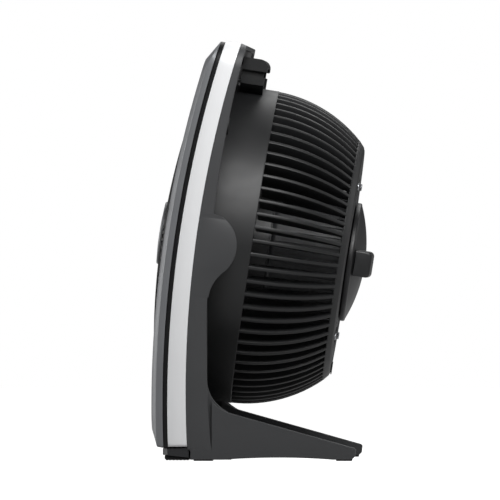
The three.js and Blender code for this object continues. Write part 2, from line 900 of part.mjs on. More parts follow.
function makeImpeller() {
  const hub = turnedRing([
    [shaftRadius + 0.3, hubFront],
    [hubRadius - 9, hubFront],
    [hubRadius - 3, hubFront + 2.5],
    [hubRadius, hubFront + 9],
    [hubRadius, hubRear],
    [hubRadius - hubWall, hubRear],
    [hubRadius - hubWall, hubFront + 10],
    [hubRadius - 6, hubFront + 4],
    [shaftRadius + 7, hubFront + 4],
    [shaftRadius + 5, hubRear - 4],
    [shaftRadius + 0.3, hubRear - 4],
  ], 30);
  const blades = [];
  for (let i = 0; i < bladeCount; i += 1) blades.push(makeBlade((2 * Math.PI * i) / bladeCount));
  const keep = rod(hubRadius - 1, hubFront + 9.9, hubRear + 30, 0, 0, 30);
  return join(hub, ...blades.map((blade) => cut(blade, keep)));
}

function makeShaft() {
  return rod(shaftRadius, hubFront - nutDepth - 2, bracketRear + bracketThick + 2, 0, 0, 20);
}

function makeImpellerNut() {
  const nut = rod(nutRadius, hubFront - nutDepth, hubFront - gap, 0, 0, 6);
  return cut(nut, rod(shaftRadius + gap, hubFront - nutDepth - 1, hubFront, 0, 0, 20));
}

function makeMotorRotor() {
  return turnedRing([
    [shaftRadius + 0.3, statorFront + 1],
    [rotorRadius, statorFront + 1],
    [rotorRadius, statorRear - 1],
    [shaftRadius + 0.3, statorRear - 1],
  ], 20);
}

// ---- Control cover, switch and knob ----

const coverSphere = ((coverRadius - 2) ** 2 + coverDome ** 2) / (2 * coverDome);

// Rear surface of the control cover's dome.
function coverY(radius) {
  const drop = coverSphere - Math.sqrt(coverSphere ** 2 - radius ** 2);
  return coverEdge + coverDome - drop;
}

function makeControlCover() {
  const profile = [[coverRadius, gap], [coverRadius, coverEdge - 1.5]];
  const steps = 4;
  const hole = bushingRadius + gap;
  for (let i = 0; i <= steps; i += 1) {
    const radius = hole + (coverRadius - 2 - hole) * (1 - i / steps);
    profile.push([radius, coverY(radius)]);
  }
  for (let i = steps; i >= 0; i -= 1) {
    const radius = hole + (coverRadius - coverWall - 2 - hole) * (1 - i / steps);
    profile.push([radius, coverY(radius) - coverWall]);
  }
  profile.push([coverRadius - coverWall - 1, gap]);
  return turnedRing(profile, 36);
}

const switchRear = coverY(switchSize * 0.72) - coverWall - gap;

function makeSwitch() {
  const half = switchSize / 2;
  const body = box(-half, half, switchRear - switchDepth, switchRear, -half, half);
  const bushing = rod(bushingRadius, switchRear - 1, coverY(0) + 0.5, 0, 0, 20);
  const bore = rod(stemRadius + gap, switchRear - switchDepth + 4, 30, 0, 0, 16);
  return cut(join(body, bushing), bore);
}

function makeStem() {
  return rod(stemRadius, switchRear - switchDepth + 5, barRear - 6, 0, 0, 16);
}

function makeKnob() {
  const half = barLength / 2;
  const tall = barHeight / 2;
  const round = 5;
  const shape = new THREE.Shape();
  shape.moveTo(0, -tall);
  shape.lineTo(barRear - round, -tall);
  shape.absarc(barRear - round, -tall + round, round, -Math.PI / 2, 0, false);
  shape.absarc(barRear - round, tall - round, round, 0, Math.PI / 2, false);
  shape.lineTo(0, tall);
  const bar = sidePrism(shape, -half, half, 4);
  const reach = rod(half, -5, 40, 0, 0, 40);
  const edgeY = coverY(coverRadius - 2) + barClear;
  const profile = [[0, -20], [coverRadius + 4, -20], [coverRadius + 4, edgeY - 2]];
  const steps = 6;
  for (let i = 0; i <= steps; i += 1) {
    const radius = (coverRadius - 2) * (1 - i / steps);
    profile.push([radius, coverY(radius) + barClear]);
  }
  const dome = turned(profile, 30);
  const stemHole = rod(stemRadius + gap, -20, barRear - 6 + gap, 0, 0, 16);
  const bushingHole = rod(bushingRadius + 2 * gap, -20, coverY(0) + 2.6, 0, 0, 20);
  return cut(bar.intersect(reach), dome, stemHole, bushingHole);
}

// ---- Carry handle ----

const handleScrewX = 52;
const handleScrewZ = footTop - 6;
const handleScrewSeat = -121;
const handleScrewTip = -136.8;

// The bar's side view, `thick` high under its rounded rear edge.
function handleShape(front, thick) {
  const shape = new THREE.Shape();
  const [y, z] = [handleRear - handleRound, handleTop - handleRound];
  shape.moveTo(front, handleTop - thick);
  shape.lineTo(handleRear, handleTop - thick);
  shape.absarc(y, z, handleRound, 0, Math.PI / 2, false);
  shape.lineTo(front, handleTop);
  return shape;
}

function makeHandle() {
  const front = archAt(stripRear, handleTop) + closureThick + 2 * gap;
  const inner = bracketHalf - bracketWide / 2;
  const bar = sidePrism(handleShape(front, handleBar), -inner - 1, inner + 1, 5);
  const end = sidePrism(handleShape(front, handleEnd), inner, handleHalf, 5);
  const rear = handleRear - footStep;
  const bracket = box(inner, inner + bracketWide, front, rear - 1.5, footBottom, handleTop - 3);
  const foot = box(inner - 2, inner - 2 + footWide, front, rear, footBottom, footTop);
  const under = box(-10, 40, front - 1, rear + 1, -40, 0)
    .rotate([0, -footSlope, 0])
    .translate([inner - 2 + footWide, 0, footTop - footLow]);
  const shroud = rod(shroudRadius + gap, -160, -90, 0, 0, 72);
  const right = cut(join(end, bracket, foot), under.translate([-footWide, 0, -footLow]));
  const holes = [-1, 1].flatMap((side) => [
    rod(holeRadius, -160, -90, side * handleScrewX, handleScrewZ, 12),
    rod(screwHead + screwClear, handleScrewSeat, -90, side * handleScrewX, handleScrewZ, 16),
  ]);
  return cut(join(bar, right, mirrored(right)), shroud, ...holes);
}

// A screw whose head lies at `seat` and whose point goes towards `tip`.
function makeScrew(x, z, tip, seat) {
  const out = Math.sign(seat - tip);
  const ends = (a, b) => [Math.min(a, b), Math.max(a, b)];
  const [s0, s1] = ends(tip, seat + out * 0.5);
  const [h0, h1] = ends(seat + out * gap * 0.5, seat + out * (headDepth - gap * 0.5));
  return join(rod(screwRadius, s0, s1, x, z, 8), rod(screwHead, h0, h1, x, z, 12));
}

// ---- Base, in the stand's frame ----

function legOutline() {
  const slope = legSlope * rad;
  const straight = legTipTop + (legTipY - legCurveEnd) * Math.tan(slope);
  const centreY = legCurveEnd + legCurve * Math.sin(slope);
  const centreZ = straight + legCurve * Math.cos(slope);
  const start = Math.PI + Math.acos((centreY - seamY) / legCurve);
  const shape = new THREE.Shape();
  shape.moveTo(legFront, soleLift);
  shape.lineTo(legFront, toeTop);
  shape.lineTo(seamY, toeTop);
  shape.absarc(centreY, centreZ, legCurve, start, 1.5 * Math.PI - slope, false);
  shape.lineTo(legTipY - 1.5, legTipTop + 0.42);
  shape.lineTo(legTipY, legTipTop - 1.2);
  shape.lineTo(legTipY - 0.8, soleLift + 3);
  shape.lineTo(legTipY - 4, soleLift);
  shape.lineTo(rearPadY - 3, soleLift);
  shape.quadraticCurveTo((rearPadY + 2) / 2, archLift, frontPadY + frontPadLong + 10, soleLift);
  return shape;
}

function armOutline() {
  const { blendY, blendZ } = earOutline();
  const [centreY, centreZ] = standFrom(blendY, blendZ);
  const round = earBlendRadius + armShy;
  const rear = centreY - round;
  const front = rear - armWide;
  const shape = new THREE.Shape();
  shape.moveTo(front, soleLift);
  shape.lineTo(front, centreZ - 5);
  shape.absarc(0, pivotHeight, hubOuter, 156 * rad, -45 * rad, true);
  shape.absarc(centreY, centreZ, round, 124 * rad, Math.PI, false);
  shape.lineTo(rear, 80);
  shape.quadraticCurveTo(rear, 58, legCurveEnd, 46);
  shape.lineTo(legCurveEnd, soleLift);
  return shape;
}

const tongue = { y0: -8, y1: 2, z0: 6, z1: 15 };
const legInner = panelHalf - legWide;
const baseScrewX = legInner + 4;
const baseScrewY = -3;
const baseScrewSeat = 3.6;

function makeLeg() {
  const leg = sidePrism(legOutline(), legInner, panelHalf, 8);
  const arm = sidePrism(armOutline(), armInner, armOuter, 8);
  const pocket = box(
    legInner - 1,
    legInner + tongueLong + gap,
    tongue.y0 - gap,
    tongue.y1 + gap,
    tongue.z0 - gap,
    tongue.z1 + gap,
  );
  const bore = crossRod(pinRadius + gap, armInner - 1, armOuter + 1, 0, pivotHeight);
  const seat = crossRod(
    pinHead + gap,
    armOuter - pinHeadDepth - 2 * gap,
    armOuter + 1,
    0,
    pivotHeight,
  );
  const screw = upRod(holeRadius, -1, tongue.z0, baseScrewX, baseScrewY, 12);
  const head = upRod(screwHead + screwClear, -1, baseScrewSeat, baseScrewX, baseScrewY, 16);
  return cut(join(leg, arm), pocket, bore, seat, screw, head, ...padPlaces().map(([y, long]) => (
    padBlock(y, long, gap, padThick + gap)
  )));
}

function padPlaces() {
  return [[frontPadY, frontPadLong], [rearPadY, rearPadLong]];
}

function padBlock(y, long, clear, top) {
  const middle = legInner + legWide / 2;
  const half = padWide / 2;
  const [x0, x1] = [middle - half - clear, middle + half + clear];
  return box(x0, x1, y - clear, y + long + clear, clear > 0 ? -1 : 0, top);
}

function makeCrossbar() {
  const shape = new THREE.Shape();
  shape.moveTo(legFront, soleLift + 0.3);
  shape.lineTo(legFront, toeTop - 1);
  shape.quadraticCurveTo(legFront + 14, barTop, legFront + 22, barTop);
  shape.lineTo(barBack - 6, barTop);
  shape.quadraticCurveTo(barBack, barTop, barBack, barTop - 7);
  shape.lineTo(barBack, soleLift + 0.3);
  const reach = legInner - gap;
  const bar = sidePrism(shape, -reach, reach, 5);
  const ends = [-1, 1].map((side) => {
    const x = [side * (reach - 1), side * (legInner + tongueLong)].sort((a, b) => a - b);
    return box(x[0], x[1], tongue.y0, tongue.y1, tongue.z0, tongue.z1);
  });
  const holes = [-1, 1].map((side) => (
    upRod(holeRadius, tongue.z0 - 1, tongue.z0 + 6, side * baseScrewX, baseScrewY, 12)
  ));
  return cut(join(bar, ...ends), ...holes);
}

function makeBaseScrew() {
  const bottom = baseScrewSeat - headDepth;
  const shank = upRod(screwRadius, bottom, tongue.z0 + 5.5, baseScrewX, baseScrewY, 8);
  const head = upRod(screwHead, bottom, baseScrewSeat - gap, baseScrewX, baseScrewY, 12);
  return join(shank, head);
}

function makePin() {
  const end = armOuter - gap;
  const shank = crossRod(pinRadius, shroudRadius + 2, end - 1, 0, pivotHeight);
  const head = crossRod(pinHead, end - pinHeadDepth, end, 0, pivotHeight);
  return join(shank, head);
}

function makeWasher() {
  const x0 = bossEnd + gap;
  const ring = crossRod(bossRadius - 0.5, x0, x0 + washerThick, 0, pivotHeight);
  return cut(ring, crossRod(pinRadius + gap, x0 - 1, x0 + washerThick + 1, 0, pivotHeight));
}

// Height of the chin's underside, which falls towards the rear.
function chinLow(y) {
  const share = (y - chinFront) / (chinRear - chinFront);
  return chinLowFront + (chinLowRear - chinLowFront) * share;
}

function makeChin() {
  const [side, front] = [chinHalf - chinFacet, chinFront];
  const plan = [
    [-chinHalf, chinRear],
    [-chinHalf, front + chinFacet],
    [-side, front],
    [side, front],
    [chinHalf, front + chinFacet],
    [chinHalf, chinRear],
  ];
  return skin([
    plan.map(([x, y]) => [x, y, chinLow(y)]),
    plan.map(([x, y]) => [x, y, frameLift - gap]),
  ], false);
}

function makeBumper() {
  const front = chinFront + bumperInset;
  const rear = chinRear - 0.4;
  const shape = new THREE.Shape();
  shape.moveTo(front, chinLow(front) - gap);
  shape.lineTo(front, bumperLift + 2);
  shape.lineTo(front + 2, bumperLift);
  shape.lineTo(rear - 0.6, bumperLift);
  shape.lineTo(rear, chinLow(rear) - gap);
  return sidePrism(shape, bumperInset - chinHalf, chinHalf - bumperInset, 4);
}

// ---- Materials ----

const finishes = {
  plate: new THREE.MeshStandardMaterial({ color: 0x54565a, roughness: 0.42, metalness: 0.1 }),
  charcoal: new THREE.MeshStandardMaterial({ color: 0x3a3b3d, roughness: 0.55 }),
  black: new THREE.MeshStandardMaterial({ color: 0x141516, roughness: 0.5 }),
  silver: new THREE.MeshStandardMaterial({ color: 0xd6d8da, roughness: 0.32, metalness: 0.6 }),
  rubber: new THREE.MeshStandardMaterial({ color: 0x0c0c0c, roughness: 0.9 }),
  blade: new THREE.MeshStandardMaterial({ color: 0x1b1c1e, roughness: 0.4 }),
  steel: new THREE.MeshStandardMaterial({ color: 0xa9acb0, roughness: 0.35, metalness: 1 }),
  copper: new THREE.MeshStandardMaterial({ color: 0x9a4e22, roughness: 0.45, metalness: 0.8 }),
  aluminium: new THREE.MeshStandardMaterial({ color: 0xb9bcc0, roughness: 0.5, metalness: 0.9 }),
};

function piece(group, name, body, finish) {
  const mesh = new THREE.Mesh(geometryOf(body), finishes[finish].clone());
  mesh.name = name;
  group.add(mesh);
}

function pair(group, name, body, finish) {
  piece(group, `${name}_right`, body, finish);
  piece(group, `${name}_left`, mirrored(body), finish);
}

// ---- Assembly ----

const fan = new THREE.Group();
const stand = new THREE.Group();
const head = new THREE.Group();
fan.add(stand, head);

// The head's frame is turned back by the rest tilt about the pivot.
const [headY, headZ] = standFrom(0, 0);
head.position.set(0, headY, headZ);
head.rotation.x = -restTilt * rad;

pair(stand, 'leg', makeLeg(), 'charcoal');
piece(stand, 'crossbar', makeCrossbar(), 'charcoal');
pair(stand, 'front_pad', padBlock(frontPadY, frontPadLong, 0, padThick), 'rubber');
pair(stand, 'rear_pad', padBlock(rearPadY, rearPadLong, 0, padThick), 'rubber');
pair(stand, 'base_screw', makeBaseScrew(), 'steel');
pair(stand, 'pivot_pin', makePin(), 'steel');
pair(stand, 'pivot_washer', makeWasher(), 'rubber');
piece(stand, 'chin', makeChin(), 'charcoal');
piece(stand, 'chin_bumper', makeBumper(), 'rubber');

piece(head, 'face_plate', makeFacePlate(), 'plate');
piece(head, 'front_frame', makeFrontFrame(), 'black');
piece(head, 'trim_strip', makeTrimStrip(), 'silver');
piece(head, 'front_grille', makeFrontGrille(), 'black');
piece(head, 'grille_cap', makeGrilleCap(), 'plate');
piece(head, 'rear_frame', makeRearFrame(), 'charcoal');
piece(head, 'rear_grille', makeRearGrille(), 'black');
piece(head, 'motor_bucket', makeMotorBucket(), 'charcoal');
piece(head, 'intake_plate', makeIntakePlate(), 'charcoal');
piece(head, 'cord_gland', makeCordGland(), 'rubber');
piece(head, 'carry_handle', makeHandle(), 'black');

const grilleSeat = grilleRimFront + 2.6;
grilleScrewPlaces().forEach(([x, z], i) => {
  piece(head, `grille_screw_${i + 1}`, makeScrew(x, z, lipFront + 6, grilleSeat), 'steel');
});
lugPlaces().forEach(([x, z], i) => {
  const seat = lugFace(z) + lugThick - headDepth - gap;
  piece(head, `housing_screw_${i + 1}`, makeScrew(x, z, seat - 5.2, seat), 'steel');
});
bucketScrewPlaces().forEach(([x, z], i) => {
  piece(head, `bucket_screw_${i + 1}`, makeScrew(x, z, -ringDepth - 5, 0), 'steel');
});
[1, -1].forEach((side) => {
  const screw = makeScrew(side * handleScrewX, handleScrewZ, handleScrewTip, handleScrewSeat);
  piece(head, `handle_screw_${side > 0 ? 'right' : 'left'}`, screw, 'steel');
});

piece(head, 'motor_stator', makeStator(), 'steel');
piece(head, 'motor_coil_front', makeCoil(coilFront, coilFront + coilDepth), 'copper');
piece(head, 'motor_coil_rear', makeCoil(coilRear, coilRear + coilDepth), 'copper');
const frontBracket = makeBracket(
  bracketFront,
  bracketFront + bracketThick,
  bracketFront + bearingDepth,
  statorFront - gap,
);
const rearBracket = makeBracket(
  bracketRear,
  bracketRear + bracketThick,
  bracketRear + bracketThick - bearingDepth,
  statorRear + gap,
);
piece(head, 'motor_bracket_front', frontBracket, 'aluminium');
piece(head, 'motor_bracket_rear', rearBracket, 'aluminium');
piece(head, 'bearing_front', makeBearing(bracketFront), 'steel');
piece(head, 'bearing_rear', makeBearing(bracketRear + bracketThick - bearingDepth), 'steel');
motorBoltPlaces().forEach(([x, z], i) => {
  piece(head, `motor_bolt_${i + 1}`, makeMotorBolt(x, z), 'steel');
});

piece(head, 'impeller', makeImpeller(), 'blade');
piece(head, 'shaft', makeShaft(), 'steel');
piece(head, 'impeller_nut', makeImpellerNut(), 'steel');
piece(head, 'motor_rotor', makeMotorRotor(), 'aluminium');

piece(head, 'control_cover', makeControlCover(), 'black');
piece(head, 'speed_switch', makeSwitch(), 'black');
piece(head, 'switch_stem', makeStem(), 'steel');
piece(head, 'speed_knob', makeKnob(), 'black');

// Centre the footprint on the origin.
fan.updateMatrixWorld(true);
const bounds = new THREE.Box3().setFromObject(fan, true);
const middle = bounds.getCenter(new THREE.Vector3());
fan.position.set(-middle.x, -middle.y, -bounds.min.z);

export default fan;
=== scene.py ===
import math
import bmesh
import bpy
import numpy as np
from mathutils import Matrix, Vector


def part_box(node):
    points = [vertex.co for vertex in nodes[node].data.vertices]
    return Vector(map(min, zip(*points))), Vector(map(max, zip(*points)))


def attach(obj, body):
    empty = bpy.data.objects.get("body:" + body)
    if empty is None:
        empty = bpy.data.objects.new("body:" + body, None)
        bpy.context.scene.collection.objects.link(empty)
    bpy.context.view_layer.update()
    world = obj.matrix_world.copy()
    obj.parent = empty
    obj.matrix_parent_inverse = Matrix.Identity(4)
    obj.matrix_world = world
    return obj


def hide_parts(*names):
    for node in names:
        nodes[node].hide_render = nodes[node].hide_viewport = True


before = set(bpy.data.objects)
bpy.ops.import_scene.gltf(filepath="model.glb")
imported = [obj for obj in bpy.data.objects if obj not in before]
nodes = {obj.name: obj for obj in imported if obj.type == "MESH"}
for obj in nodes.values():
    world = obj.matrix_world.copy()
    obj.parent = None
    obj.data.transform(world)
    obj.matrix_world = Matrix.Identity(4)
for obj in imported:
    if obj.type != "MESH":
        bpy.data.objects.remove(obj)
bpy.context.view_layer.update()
print("frame loaded:", len(nodes), "nodes")


def addObject(name, data):
    made = bpy.data.objects.new(name, data)
    bpy.context.scene.collection.objects.link(made)
    return made


# ---- camera: level, almost square to the fan's right side, far away ----

cameraLook = {"distance": 17.5, "azimuth": 91.4, "frameWide": 0.49,
              "aim": (0.194, -0.0086, 0.2068), "sensor": 36.0, "clipEnd": 60.0}


def makeCamera():
    turn = math.radians(cameraLook["azimuth"])
    back = Vector((math.sin(turn), -math.cos(turn), 0.0))
    data = bpy.data.cameras.new("photoCamera")
    data.sensor_width = cameraLook["sensor"]
    data.lens = cameraLook["sensor"] * cameraLook["distance"] / cameraLook["frameWide"]
    data.clip_end = cameraLook["clipEnd"]
    camera = addObject("photoCamera", data)
    camera.location = Vector(cameraLook["aim"]) + back * cameraLook["distance"]
    camera.rotation_euler = (-back).to_track_quat("-Z", "Y").to_euler()
    bpy.context.scene.camera = camera


makeCamera()
print("camera placed")

# ---- sizes shared by the head's pieces, in mm in the head's own frame ----
# y = 0 is the face of the rear ring and air leaves towards -y; the fan axis is z = 0.

head = {"tilt": 8.8, "pivotY": -118.7, "pivotZ": -12.8,
        "half": 194.0, "top": 196.5, "topCorner": 24.0, "bottomCorner": 3.0,
        "stripLift": 13.8, "frameLift": 12.8, "proud": 1.5, "opening": 166.0,
        "footZ": -206.0}
stripFront = (-162.9, 9.0, 1141.0)  # arch: nearest y, its z, radius
stripRear = (-146.5, 19.1, 1112.0)
plateFront = (-178.1, 2.2, 1128.0)
panelRear = (-133.8, 69.0, 1100.0)
bezelDepth = 4.4
gap = 0.3
fixings = [(math.cos(a), math.sin(a)) for a in np.radians((45, 135, 225, 315))]  # round the axis
sides = {"bowl": 240, "rim": 200, "ring": 160, "drum": 144, "hub": 96, "pad": 40}  # of the lathes

pinLow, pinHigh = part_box("pivot_pin_right")
pivot = (np.array(pinLow) + np.array(pinHigh)) * 500.0  # mm, the tilt axis
tiltSin = math.sin(math.radians(head["tilt"]))
tiltCos = math.cos(math.radians(head["tilt"]))


def headPlace(points):
    # turned about the pivot by the rest tilt, then moved to it, in metres
    p = np.asarray(points, float)
    dy = p[..., 1] - head["pivotY"]
    dz = p[..., 2] - head["pivotZ"]
    y = dy * tiltCos + dz * tiltSin + pivot[1]
    z = -dy * tiltSin + dz * tiltCos + pivot[2]
    return np.stack([p[..., 0], y, z], -1) / 1000.0


def standPlace(points):
    # y = 0 at the pivot and z = 0 on the floor, in metres
    p = np.array(points, float)
    p[..., 1] += pivot[1]
    return p / 1000.0


def archAt(arch, z):
    # circle arc: y = nearest + R - sqrt(R^2 - (z - middle)^2)
    near, middle, radius = arch
    return near + radius - np.sqrt(radius ** 2 - (np.asarray(z, float) - middle) ** 2)


def onArch(arch, x, z, shift=0.0):
    return np.stack([x, archAt(arch, z) + shift, z], -1)


def levelZ(y, lift):
    # z in the head's frame of a level plane at that lift over the floor
    return ((lift - pivot[2] + (y - head["pivotY"]) * tiltSin) / tiltCos) + head["pivotZ"]


# ---- mesh helpers: a part is its points, its quads and its other faces ----

meshMaking = {"weld": 2e-6, "tiny": 1e-7, "bevelAngle": 28.0, "prismSharp": 30}


def surface(rows, wrapRows=False, caps=False):
    # rows: (rows, cols, 3), each row a closed loop, with quads between neighbouring rows.
    # Caps close the first and last rows with a fan to their middle.
    rows = np.asarray(rows, float)
    count, cols = rows.shape[:2]
    points = rows.reshape(-1, 3)
    index = np.arange(count * cols).reshape(count, cols)
    if wrapRows:
        index = np.vstack([index, index[:1]])
    beside = np.roll(index, -1, 1)
    quads = np.stack([index[:-1], beside[:-1], beside[1:], index[1:]], -1).reshape(-1, 4)
    if not caps:
        return points, quads, []
    points = np.vstack([points, rows[0].mean(0), rows[-1].mean(0)])
    ring = np.arange(cols)
    after = np.roll(ring, -1)
    last = (count - 1) * cols
    near = np.stack([after, ring, np.full(cols, count * cols)], -1)
    far = np.stack([last + ring, last + after, np.full(cols, count * cols + 1)], -1)
    return points, quads, np.vstack([near, far]).tolist()


def allRound(radial, sideways, along, count, shift=0.0):
    # copies of a section turned round the fan axis: x = r cos t - s sin t, z = r sin t + s cos t
    turn = 2 * np.pi * (np.arange(count) + shift) / count
    c, n = np.cos(turn)[:, None, None], np.sin(turn)[:, None, None]
    y = np.broadcast_to(along, (count,) + radial.shape)
    copies = np.stack([radial * c - sideways * n, y, radial * n + sideways * c], -1)
    return [surface(one, caps=True) for one in copies]


def allSwept(radius, angle, along, count):
    # the same for a section given by radius and angle: x = r cos(a + t), z = r sin(a + t)
    a = angle + (2 * np.pi * np.arange(count) / count)[:, None, None]
    copies = np.stack([radius * np.cos(a), np.broadcast_to(along, a.shape),
                       radius * np.sin(a)], -1)
    return [surface(one, caps=True) for one in copies]


def makePiece(name, parts, finish, node, sharp=32, body="head", place=headPlace, weld=True):
    # one mesh of all the parts, in the finish of that name; it stands for that node
    points, faces, offset = [], [], 0
    for vertices, quads, others in parts:
        points.append(vertices)
        faces += (quads + offset).tolist() + [[i + offset for i in face] for face in others]
        offset += len(vertices)
    mesh = bpy.data.meshes.new(name)
    mesh.from_pydata(place(np.vstack(points)).tolist(), [], faces)
    shape = bmesh.new()
    shape.from_mesh(mesh)
    if weld:
        bmesh.ops.remove_doubles(shape, verts=shape.verts, dist=meshMaking["weld"])
        bmesh.ops.dissolve_degenerate(shape, dist=meshMaking["tiny"], edges=shape.edges)
    bmesh.ops.recalc_face_normals(shape, faces=shape.faces)
    shape.to_mesh(mesh)
    shape.free()
    mesh.polygons.foreach_set("use_smooth", np.ones(len(mesh.polygons), bool))
    mesh.set_sharp_from_angle(angle=math.radians(sharp))
    mesh.materials.append(finishes[finish])
    piece = addObject(name, mesh)
    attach(piece, body)
    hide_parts(node)
    return piece


def prismPiece(name, prisms, finish, node, round, body="base", place=standPlace, segments=3):
    # flat-sided parts whose edges a bevel rounds
    piece = makePiece(name, prisms, finish, node, meshMaking["prismSharp"], body, place, False)
    bevel = piece.modifiers.new("rounding", "BEVEL")
    bevel.width = round / 1000.0
    bevel.segments = segments
    bevel.limit_method = "ANGLE"
    bevel.angle_limit = math.radians(meshMaking["bevelAngle"])
    bevel.harden_normals = True


def rounded(corners, steps=5):
    # a closed outline of (a, b, radius) corners; each becomes an arc tangent to both sides
    corners = np.array(corners, float)
    before, after = np.roll(corners, 1, 0), np.roll(corners, -1, 0)
    pieces = []
    for here, last, following in zip(corners, before, after):
        middle = here[:2]
        inward = (last[:2] - middle) / np.linalg.norm(last[:2] - middle)
        outward = (following[:2] - middle) / np.linalg.norm(following[:2] - middle)
        if here[2] <= 0:
            pieces.append(middle[None])
            continue
        half = math.acos(np.clip(inward @ outward, -1, 1)) / 2
        reach = here[2] / math.tan(half)
        bisector = inward + outward
        centre = middle + bisector / np.linalg.norm(bisector) * here[2] / math.sin(half)
        start = middle + inward * reach - centre
        end = middle + outward * reach - centre
        a0 = math.atan2(start[1], start[0])
        turn = (math.atan2(end[1], end[0]) - a0 + math.pi) % (2 * math.pi) - math.pi
        angles = a0 + turn * np.linspace(0, 1, steps + 1)
        pieces.append(centre + here[2] * np.stack([np.cos(angles), np.sin(angles)], -1))
    return np.vstack(pieces)


def turned(profile, count, centre=(0.0, 0.0)):
    # a lathe round the fan axis: x = r cos a, z = r sin a for each (r, y) of the profile
    profile = np.asarray(profile, float)
    angle = np.linspace(0, 2 * np.pi, count, endpoint=False)
    x = profile[:, :1] * np.cos(angle) + centre[0]
    z = profile[:, :1] * np.sin(angle) + centre[1]
    y = np.repeat(profile[:, 1:2], count, 1)
    return surface(np.stack([x, y, z], -1), wrapRows=True)


def prism(near, far):
    # two matching flat outlines joined by quads, each closed as a single face
    count = len(near)
    points = np.vstack([near, far])
    ring = np.arange(count)
    after = np.roll(ring, -1)
    quads = np.stack([ring, after, after + count, ring + count], -1)
    return points, quads, [ring[::-1].tolist(), (ring + count).tolist()]


def sidePrism(outline, x0, x1):
    # a flat (y, z) outline carried along x
    outline = np.asarray(outline, float)
    ends = [np.column_stack([np.full(len(outline), x), outline]) for x in (x0, x1)]
    return prism(*ends)


def frontPrism(outline, y0, y1):
    # a flat (x, z) outline carried along y
    x, z = np.asarray(outline, float).T
    ends = [np.column_stack([x, np.full(len(x), y), z]) for y in (y0, y1)]
    return prism(*ends)


def frameLoop(half, top, bottom, topRound, bottomRound, sideZ=None, ends=36, corner=12):
    # a rounded rectangle run round from the right side's foot; every loop made with the
    # same counts matches point for point. Returns x, z and the outward normal.
    lowSide, highSide = bottom + bottomRound, top - topRound
    z = np.linspace(lowSide, highSide, 60) if sideZ is None else np.clip(sideZ, lowSide, highSide)
    quarter = np.linspace(0, np.pi / 2, corner + 2)[1:-1]
    across = np.linspace(0, 1, ends)

    def arc(cx, cz, round, start):
        a = quarter + start
        return np.stack([cx + round * np.cos(a), cz + round * np.sin(a), np.cos(a), np.sin(a)], -1)

    def line(x0, z0, x1, z1, nx, nz, f):
        flat = np.ones_like(f)
        return np.stack([x0 + (x1 - x0) * f, z0 + (z1 - z0) * f, nx * flat, nz * flat], -1)

    right = np.stack([half + 0 * z, z, 1 + 0 * z, 0 * z], -1)
    left = right[::-1] * np.array([-1, 1, -1, 1])
    topX, bottomX = half - topRound, half - bottomRound
    return np.vstack([
        right,
        arc(topX, highSide, topRound, 0),
        line(topX, top, -topX, top, 0, 1, across),
        arc(-topX, highSide, topRound, np.pi / 2),
        left,
        arc(-bottomX, lowSide, bottomRound, np.pi),
        line(-bottomX, bottom, bottomX, bottom, 0, -1, across),
        arc(bottomX, lowSide, bottomRound, 1.5 * np.pi),
    ]).T


print("helpers ready")

# ---- materials ----

def nodeTools(name):
    material = bpy.data.materials.new(name)
    material.use_nodes = True
    tree = material.node_tree
    shader = tree.nodes["Principled BSDF"]
    coordinates = tree.nodes.new("ShaderNodeTexCoord")
    return material, tree, shader, coordinates.outputs["Object"]


def addNode(tree, kind, values, links):
    # a node whose inputs are set by name or number, or linked to another node's output
    node = tree.nodes.new("ShaderNode" + kind)
    for key, value in values.items():
        node.inputs[key].default_value = value
    for key, output in links.items():
        tree.links.new(output, node.inputs[key])
    return node


def noiseAt(tree, at, scale, detail):
    return addNode(tree, "TexNoise", {"Scale": scale, "Detail": detail}, {"Vector": at}).outputs[0]


def spread(tree, source, low, high):
    # a value from 0.3..0.7 of the noise to low..high
    ends = {"From Min": 0.3, "From Max": 0.7, "To Min": low, "To Max": high}
    return addNode(tree, "MapRange", ends, {"Value": source}).outputs["Result"]


def blendColours(tree, factor, first, second):
    mix = addNode(tree, "Mix", {6: (*first, 1.0), 7: (*second, 1.0)}, {0: factor})
    mix.data_type = "RGBA"
    return mix.outputs[2]


def bump(tree, height, depth, below=None):
    links = {"Height": height} if below is None else {"Height": height, "Normal": below}
    return addNode(tree, "Bump", {"Distance": depth / 1000.0}, links).outputs["Normal"]


def plastic(name, colour, roughness, specular=0.5, metallic=0.0, grain=0.02, grainScale=1600.0,
            mottle=0.06, dust=0.05, sink=0.05):
    # moulded plastic: spark-eroded grain, faint flow mottling, dust that dulls the gloss
    material, tree, shader, at = nodeTools(name)
    flow = spread(tree, noiseAt(tree, at, 9.0, 3.0), 0.0, 1.0)
    dark, light = (tuple(c * shade for c in colour) for shade in (1 - mottle, 1 + mottle))
    tree.links.new(blendColours(tree, flow, dark, light), shader.inputs["Base Color"])
    dull = spread(tree, noiseAt(tree, at, 34.0, 6.0), roughness - dust, roughness + dust)
    tree.links.new(dull, shader.inputs["Roughness"])
    shader.inputs["Metallic"].default_value = metallic
    shader.inputs["Specular IOR Level"].default_value = specular
    cells = addNode(tree, "TexVoronoi", {"Scale": grainScale}, {"Vector": at})
    fine = bump(tree, cells.outputs["Distance"], grain)
    wide = bump(tree, noiseAt(tree, at, 18.0, 2.0), sink, fine)  # sink marks of the mould
    tree.links.new(wide, shader.inputs["Normal"])
    return material


